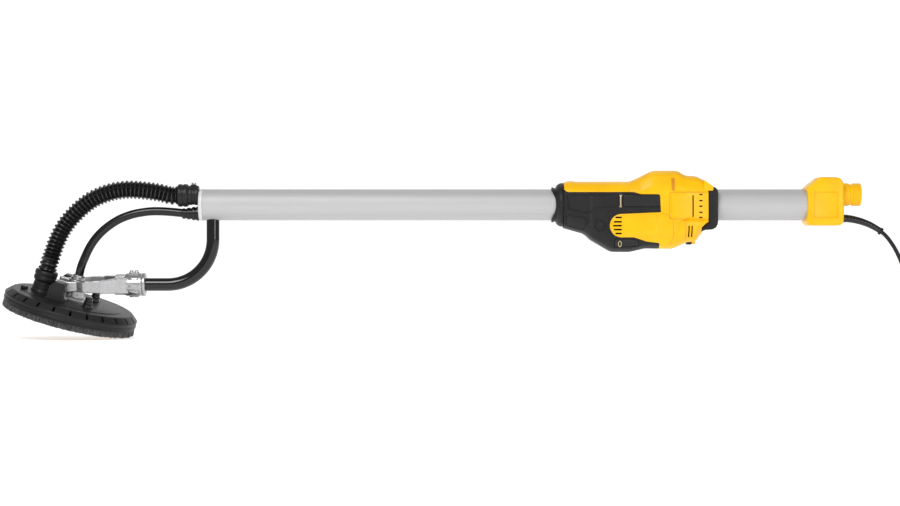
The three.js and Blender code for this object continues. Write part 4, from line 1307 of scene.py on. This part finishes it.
# %% Marks for on and off
bar_x, bar_low, bar_high = 337.1, 235.2, 256.6
for name, wide, z0, z1 in (("on_mark", 1.1, bar_low, bar_high),
                           ("on_mark_top", 2.3, bar_high - 1.5, bar_high),
                           ("on_mark_foot", 2.3, bar_low, bar_low + 1.5)):
    outline = oblong(bar_x - wide, bar_x + wide, z0, z1)
    give(patch(name, rounded(outline, 0.5), 0.35, 0.6, step=0.8), beige_print, "pole", "yellow_plastic")
off_ring, ring_x, ring_z = [], 336.0, 169.6
for k in range(24):
    turn = 2 * math.pi * k / 24
    off_ring.append((ring_x + 2.6 * math.cos(turn), ring_z + 5.0 * math.sin(turn)))
off_loop = [on_wall(x, z, 0.5 + 0.7) for x, z in off_ring]
off_mark = swept("off_mark", off_loop, lambda run: 0.7 * mm, 10, closed=True)
give(off_mark, beige_print, "off_button", "yellow_plastic")
print("off ring has", len(off_loop), "points")

# %% [markdown]
# ## Screws, strip and dial
# Four screws close the halves from the far side. A strip behind the shoulder, painted a darker yellow as the
# shade of a recess, parts the cover from the yellow body, and a knurled dial for speed sits in the far wall.

# %% Screws from the far side
screw_places = [(266, 272.3), (372, 283), (452, 282.5), (320.5, 163.2)]
for k, (x, z) in enumerate(screw_places):
    seat = Matrix.Translation(spot(x, 0, z)) @ outward(1)
    screw = turned(f"screw_{k + 1}_skin", [(0, -8), (2, -8), (2, 8.3), (3.9, 8.3), (4, 9.6), (2.8, 10.9),
                                           (0, 11.2)], seat, 32, 0.2)
    give(screw, bright_steel, "pole", "steel", f"housing_screw_{k + 1}")
print(len(screw_places), "screws")

# %% Speed dial
dial_profile = [(0, 36.2), (14.4, 36.2), (15, 37), (15, 45.4), (13.8, 47.6), (12, 48.4), (0, 48.4)]
dial = turned("speed_dial_skin", dial_profile, Matrix.Identity(4), 120, 0.4)
notches = []
for k in range(24):
    turn = Matrix.Rotation(2 * math.pi * k / 24, 4, "Z")
    notches.append(rod(0.9, 38, 52, turn @ Matrix.Translation((15.2 * mm, 0, 0)), 12))
carve(dial, joined("cutters", notches))
carve(dial, slab("cut", rounded(oblong(4, 11, -0.8, 0.8), 0.6), 47.8, 52, Matrix.Identity(4)))
dial.data.transform(dial_place)
give(dial, pad_rubber, "dial", "black_plastic", "speed_dial")
print("dial has 24 notches")

# %% Strip and seam lines in painted shade, and the latch
# The strip is a thin plate 0.2 mm proud, painted a darker yellow as the shade of a recess.
strip_outline = oblong(427.6, 433.8, 264.5, 287.5)
give(patch("cover_strip", rounded(strip_outline, 1.5), 0.2, 0.8), painted_shade_yellow, "pole", "yellow_plastic")
latch = slab("latch", rounded(oblong(458, 466.5, 168.6, 176), 1.5), -12, 12)
ease_edges(latch, 0.6)
give(latch, grip_rubber, "pole", "black_rubber")
nub = slab("latch_nub", rounded([(467.2, 169.6), (474, 169.6), (473.2, 174.8), (467.2, 174.8)], 1.2), -9, 9)
ease_edges(nub, 0.6)
give(nub, yellow_plastic, "pole", "yellow_plastic")
upper_edge = [(424.2, 214.6), (424.2, 261.2), (489, 261.2)]
lower_edge = [(424.2, 214.2), (450, 214.2), (453, 208), (453, 178)]
# The cover lines are thin beads sunk almost into the wall, painted a darker yellow as the shade in the seam.
for name, edge in (("cover_line_upper", upper_edge), ("cover_line_lower", lower_edge)):
    cover_line = bead(name, rounded(edge, 2, 4, False), 1.0, -0.15)
    give(cover_line, painted_shade_yellow, "pole", "yellow_plastic")
lip_outline = [(486, 284.2), (496, 277.4), (501.5, 273.4), (503.6, 268.8), (502.4, 264.8), (489, 264.8),
               (486, 268)]
lip = slab("rear_lip", rounded(lip_outline, 1.5), -38.6, 38.6)
ease_edges(lip, 3.2, 4)
give(lip, yellow_plastic, "pole", "yellow_plastic")
catch = slab("top_catch", rounded([(481.5, 280.5), (486.5, 277.5), (488.4, 281), (483.6, 285)], 1), -9, 9)
ease_edges(catch, 0.6)
give(catch, grip_rubber, "pole", "black_rubber")
# The shoulder crease is a thin bead painted a darker yellow as the shade in the crease.
crease = rounded([(411, 225.2), (424, 219), (431, 210.5), (431, 180), (425, 168)], 3, 4, False)
give(bead("shoulder_line", crease, 0.9, -0.1), painted_shade_yellow, "pole", "yellow_plastic")
print("strip, latch and lip are on")

# %% [markdown]
# ## Collars
# A ribbed front collar grips the pole and flares to meet the nose of the housing. At the back a short
# black ring closes the housing round the rear tube. Both are moulded, so their lips are rounded.

# %% Front collar
front_profile = [(28.3, 0), (30.6, 0), (31.6, 0.8), (31.6, 3.6), (30.4, 4.6), (30.2, 7.0), (34.6, 9.4),
                 (36.6, 11), (38.4, 14.4), (39.2, 17), (39.2, 21.2), (28.3, 21.2), (28.3, 0)]
front_collar = turned("front_collar_skin", front_profile, Matrix.Identity(4), 160, 0.6)
scallop_r, scallop_deep = 46.0, 7.5
scallop_turn = Matrix.Rotation(math.pi / 2, 4, "X")
scallop_place = Matrix.Translation((0, 0, (scallop_deep - scallop_r) * mm)) @ scallop_turn
carve(front_collar, rod(scallop_r, -60, 60, scallop_place, 120))
front_collar.data.transform(lying(215.2, pole_z / mm))
give(front_collar, grip_rubber, "pole", "black_plastic", "front_collar")
print("front collar has", len(front_collar.data.polygons), "faces")

# %% Rear ring
ring_outline = [(494.4, 273.5), (499, 273.2), (507, 270.4), (510.9, 266.4), (511.9, 261), (511.9, 212),
                (511.2, 205), (508.2, 199.2), (502, 195.4), (483, 194.4), (482.6, 198.6), (489, 205.4),
                (494.4, 209)]
ring = slab("rear_ring_skin", ring_outline, -38, 38)
ease_edges(ring, 4.0, 5, 40)
carve(ring, rod(28.3, -10, 40, lying(486, pole_z / mm), 128))
give(ring, grip_rubber, "pole", "black_plastic", "rear_grip_ring")
bpy.data.objects.remove(outer)
print("collars are on")

# %% [markdown]
# ## Inside the housing
# The motor, its gears and the switch hide behind the wall. They keep their plain shapes and get the
# finishes of the real parts, because a look inside or a cut-away should still be right.

# %% Finishes for the hidden parts
hidden = {
    "front_dust_duct": inner_plastic, "rear_dust_duct": inner_plastic, "straight_shaft_casing": inner_plastic,
    "motor_stator": wound_copper, "front_motor_bearing": bright_steel, "rear_motor_bearing": bright_steel,
    "gearcase_plate": cast_metal, "brush_holder_near": wound_copper, "brush_holder_far": wound_copper,
    "switch_module": inner_plastic, "armature": bright_steel, "cooling_fan": black_and_painted_shade,
    "output_gear": bright_steel, "flexible_core": bright_steel,
}
for node, material in hidden.items():
    repaint(node, material)
print(len(hidden), "hidden parts")

# %% [markdown]
# ## End cap and dust port
# The moulded cap closes the rear tube, and turns the dust duct out into a port for the vacuum hose. It is
# a chamfered block with a wide sloping facet, a shallow panel on each side and rounded edges all round.

# %% End cap
cap_outline = [(669.2, 210.4), (676.0, 202.7), (731.2, 202.7), (737.6, 209.4), (737.6, 275.4), (735.4, 283),
               (728.8, 288.6), (694, 289.6), (669.0, 268.9), (671.6, 263.2), (672.8, 250), (672.8, 230),
               (671.6, 217.2)]
cap_half = 32.0
port_z, port_inner = 258.4, 16.5
cord_z = 215.5
end_cap = slab("end_cap_skin", cap_outline, -cap_half, cap_half)
ease_edges(end_cap, 4.2, 6, 30)
for side in (-1, 1):
    low, high = sorted((side * (cap_half - 2.6), side * 60))
    panel = rounded(oblong(683.2, 727, 215.5, 262.9), 3)
    cutter = slab("cut", panel, low, high)
    ease_edges(cutter, 1.2, 3)
    carve(end_cap, cutter)
carve(end_cap, rod(pole_r + 0.25, -40, 31.8, lying(668.5, pole_z / mm), 128))
carve(end_cap, rod(16.4, 0, 60, lying(699, port_z), 96))
carve(end_cap, rod(6.7, 0, 30, lying(732, cord_z), 48))
give(end_cap, yellow_plastic, "pole", "yellow_plastic", "end_cap")
for k, (x, z) in enumerate(((681.5, 208.9), (731.0, 269.8))):
    place = Matrix.Translation(spot(x, cap_half - 0.4, z)) @ outward(1)
    bolt(f"cap_screw_{k + 1}", place, 1.9, 1.3, "pole", False)
print("end cap is", 2 * cap_half, "mm wide")

# %% Dust port
port_profile = [(port_inner, -5), (19.9, -5), (20.5, -4.2), (20.5, 7.6), (19.2, 8.6), (18.7, 9.6),
                (18.7, 12.8),
                (19.2, 13.8), (20.5, 14.8), (20.5, 17.4)]
port_profile += [(19.9, 18.0), (20.5, 18.8), (20.5, 20.8), (19.9, 21.4), (20.5, 22.2), (20.5, 24.2),
                 (19.9, 24.8), (20.5, 25.6), (20.5, 28.2), (19.6, 29.2), (17.4, 29.4), (port_inner, 28.6),
                 (port_inner, -5)]
port = turned("dust_port_skin", port_profile, lying(742.0, port_z), 128, 0.25)
give(port, yellow_plastic, "pole", "yellow_plastic", "dust_port")
# A dark tube inside the bore is painted shade for the depth of the port.
throat = turned("painted_shade_throat", [(15.2, 0), (16.3, 0), (16.3, 44), (15.2, 44), (15.2, 0)],
                lying(700.5, port_z), 96)
give(throat, black_and_painted_shade, "pole", "black_plastic")
print("port is", 2 * port_inner, "mm inside")

# %% [markdown]
# ## Cord
# The mains cord leaves the cap through a tapered strain relief, runs straight for a little, then falls
# to the floor in one long easy bend and ends in a tied coil with its plug. Only the first part shows in
# a side view, but the whole cord is here, because the tool will be picked up and turned.

# %% Strain relief
relief_points = [(734, cord_z), (741.9, cord_z), (748, 215.4), (758, 213.9), (771, 210.8), (788, 204.5),
                 (802, 196.8), (809, 192)]
relief_line = smooth_line([spot(x, 0, z) for x, z in relief_points], 0.8 * mm)
sleeve_r, sleeve_taper, sleeve_long = 7.3, 2.2, 83
flex_deep, flex_pitch, flex_from = 0.12, 6.0, 0.12


def sleeve(run):
    """A sleeve that narrows along its length, with shallow flexing rings."""
    share = min(1.0, run / (sleeve_long * mm))
    ring = flex_deep * (0.5 + 0.5 * math.cos(2 * math.pi * run / (flex_pitch * mm)))
    return (sleeve_r - sleeve_taper * share - ring * (share > flex_from)) * mm


strain = swept("strain_relief_skin", relief_line, sleeve, 40)
give(strain, hose_rubber, "pole", "black_rubber", "strain_relief")
print("sleeve narrows to", round(2 * (sleeve_r - sleeve_taper), 1), "mm across")

# %% Cord curve
cord_r = 3.6
cord_points = [(806, 193.9), (809.6, 191.4), (816, 185.8), (821.5, 179.7), (827, 172.3), (832.4, 164),
               (837.7, 154.3), (842.4, 144), (848.5, 127)]
cord_points += [(853.5, 104), (857, 80), (860, 57), (864.5, 36), (872, 18.5), (880, 8.6)]
coil_x, coil_y, coil_inner, coil_base = 930.0, 48.0, 43.0, 4.7
fall = [spot(x, 0, z) for x, z in cord_points]
fall += [spot(889.6, -0.9, coil_base + 0.2), spot(901, -4.3, coil_base)]
print("cord is", 2 * cord_r, "mm thick")

# %% [markdown]
# A coil that was wound by hand keeps its turns side by side and never through each other. The turns fill a
# grid three wide and four high, starting outside at the floor, and each change of row happens a little
# earlier than the one before, so the cord always moves into a place that is already free.

# %% Coil
pitch = 7.4
columns, rows, coil_points = 3, 4, 48
grid = []
for row in range(rows):
    order = range(columns) if row % 2 else reversed(range(columns))
    grid += [(column * pitch, row * pitch) for column in order]
change_long, change_lead = 0.19, 0.2
changes = [0.78]
for k in range(1, len(grid) - 1):
    climbs = grid[k + 1][1] != grid[k][1] or grid[k][1] != grid[k - 1][1]
    changes.append(changes[-1] + 1 - (change_lead if climbs else 0))
start_angle, end_angle = math.radians(-98), math.radians(-72)
coil_turns = 10 + (end_angle - start_angle) / (2 * math.pi)
plug_z = 42.0
lift_from, lift_long = coil_turns - 0.21, 0.42
loops = []
for i in range(1, int(coil_turns * coil_points) + 1):
    u = i / coil_points
    side_in, rise = grid[0]
    for (a, b), change in zip(zip(grid, grid[1:]), changes):
        moved = step_up(u, change, change_long)
        side_in += (b[0] - a[0]) * moved
        rise += (b[1] - a[1]) * moved
    lift = (plug_z - coil_base - rise) * step_up(u, lift_from, lift_long)
    angle = start_angle + 2 * math.pi * u
    ring_r = coil_inner + side_in
    loops.append(spot(coil_x + ring_r * math.cos(angle), coil_y + ring_r * math.sin(angle),
                      coil_base + rise + lift))
print("coil has", round(coil_turns, 1), "turns")

# %% End of the cord and its surface
turn_r = 30.0
heading = end_angle + math.pi / 2
outer_ring = coil_inner + grid[-1][0]
leave_x = coil_x + outer_ring * math.cos(end_angle)
leave_y = coil_y + outer_ring * math.sin(end_angle)
tail = [spot(leave_x, leave_y, plug_z)]
straight_long = 5.6
arc_x, arc_y = leave_x + straight_long * math.cos(heading), leave_y + straight_long * math.sin(heading)
for k in range(13):
    turn = heading + (math.pi / 2 - heading) * k / 12
    tail.append(spot(arc_x + turn_r * (math.sin(turn) - math.sin(heading)),
                     arc_y + turn_r * (math.cos(heading) - math.cos(turn)), plug_z))
plug_axis_x = arc_x + turn_r * (1 - math.sin(heading))
plug_y = arc_y + turn_r * math.cos(heading)
tail.append(spot(plug_axis_x, plug_y + 14, plug_z))
cord_line = smooth_line(relief_line[:-6:6] + fall + loops + tail, 3 * mm)
cord_long = sum((b - a).length for a, b in zip(cord_line, cord_line[1:]))
cord = swept("mains_cord", cord_line, lambda run: cord_r * mm, 18, Vector((0.01, 1, 0.02)))
give(cord, cord_rubber, "pole", "black_rubber", "cord_run", "cord_coil")
print("cord is", round(cord_long, 2), "m long")

# %% [markdown]
# The plug is one soft moulding with a waist to pull on and two flat blades. A short strap with a button
# ties the turns, as it would be tied for the shelf.

# %% Plug
flat_place = Matrix.Translation((plug_axis_x * mm, pole_y + plug_y * mm, plug_z * mm))
body_outline = [(-8.5, 12), (8.5, 12), (12.5, 21), (10.6, 30), (13, 38), (10.5, 43), (-10.5, 43), (-13, 38),
                (-10.6, 30), (-12.5, 21)]
plug_body = slab("plug_body", rounded(body_outline, 4), -10.6, 10.6, flat_place)
ease_edges(plug_body, 3.4, 5)
grooves = [slab("cut", oblong(-20, 20, y, y + 1.4), 9.6, 14, flat_place) for y in (22, 25, 28, 31)]
carve(plug_body, joined("cutters", grooves))
give(plug_body, cord_rubber, "pole", "black_rubber", "mains_plug")
along_y = flat_place @ Matrix.Rotation(-math.pi / 2, 4, "X")
sleeve_profile = [(0, 0), (4.6, 0), (5.0, 0.6), (5.2, 3), (4.6, 3.6), (4.6, 4.8), (5.6, 5.4), (5.8, 8),
                  (5.2, 8.6), (5.2, 9.8), (6.4, 10.4), (6.8, 14), (0, 14)]
plug_sleeve = turned("plug_sleeve", sleeve_profile, along_y, 40, 0.3)
give(plug_sleeve, cord_rubber, "pole", "black_rubber")
blade_hole = flat_place @ Matrix.Translation((0, 54 * mm, 0)) @ Matrix.Rotation(math.pi / 2, 4, "Y")
blades = []
for x in (-6.35, 6.35):
    blade = slab("blade", rounded(oblong(x - 0.75, x + 0.75, 42, 59), 0.5), -3.2, 3.2, flat_place)
    carve(blade, rod(1.6, -20, 20, blade_hole, 24))
    blades.append(blade)
plug_blades = joined("plug_blades", blades)
give(plug_blades, bright_steel, "pole", "steel")
print("plug has", len(blades), "blades")

# %% Tie
tie_angle = math.radians(115)
tie_place = Matrix.Translation(spot(coil_x, coil_y, 0)) @ Matrix.Rotation(tie_angle, 4, "Z") @ outward(-1)
tie_in, tie_out = coil_inner - 4.4, coil_inner + (columns - 1) * pitch + 4.4
tie_low, tie_high = 0.1, coil_base + (rows - 1) * pitch + cord_r + 1.0
tie = slab("cord_tie", rounded(oblong(tie_in, tie_out, tie_low, tie_high), 4, 6), -5, 5, tie_place)
tie_hole = oblong(tie_in + 0.8, tie_out - 0.8, tie_low + 0.8, tie_high - 0.8)
carve(tie, slab("cut", rounded(tie_hole, 3.4, 6), -9, 9, tie_place))
give(tie, hose_rubber, "pole", "black_rubber")
button_profile = [(0, -0.4), (3.4, -0.4), (3.4, 0.6), (2.6, 1.4), (0, 1.6)]
button_place = Matrix.Translation(tie_place @ Vector(((tie_in + tie_out) / 2 * mm, tie_high * mm, 0)))
button = turned("tie_button", button_profile, button_place, 32, 0.2)
give(button, hose_rubber, "pole", "black_rubber")
clip_line = [relief_line[-5], relief_line[-1] + (relief_line[-1] - relief_line[-5]) * 0.4]
clip = swept("relief_clip", clip_line, lambda run: 6.8 * mm, 40)
ease_edges(clip, 0.5, 2)
give(clip, grip_rubber, "pole", "black_rubber")

print("plug and tie are on")

# %% [markdown]
# ## Size
# The finished tool must be as big as its model, so its box is printed.

# %% Size of the finished tool
low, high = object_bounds()
print("finished tool is", [round(v, 3) for v in high - low], "m")
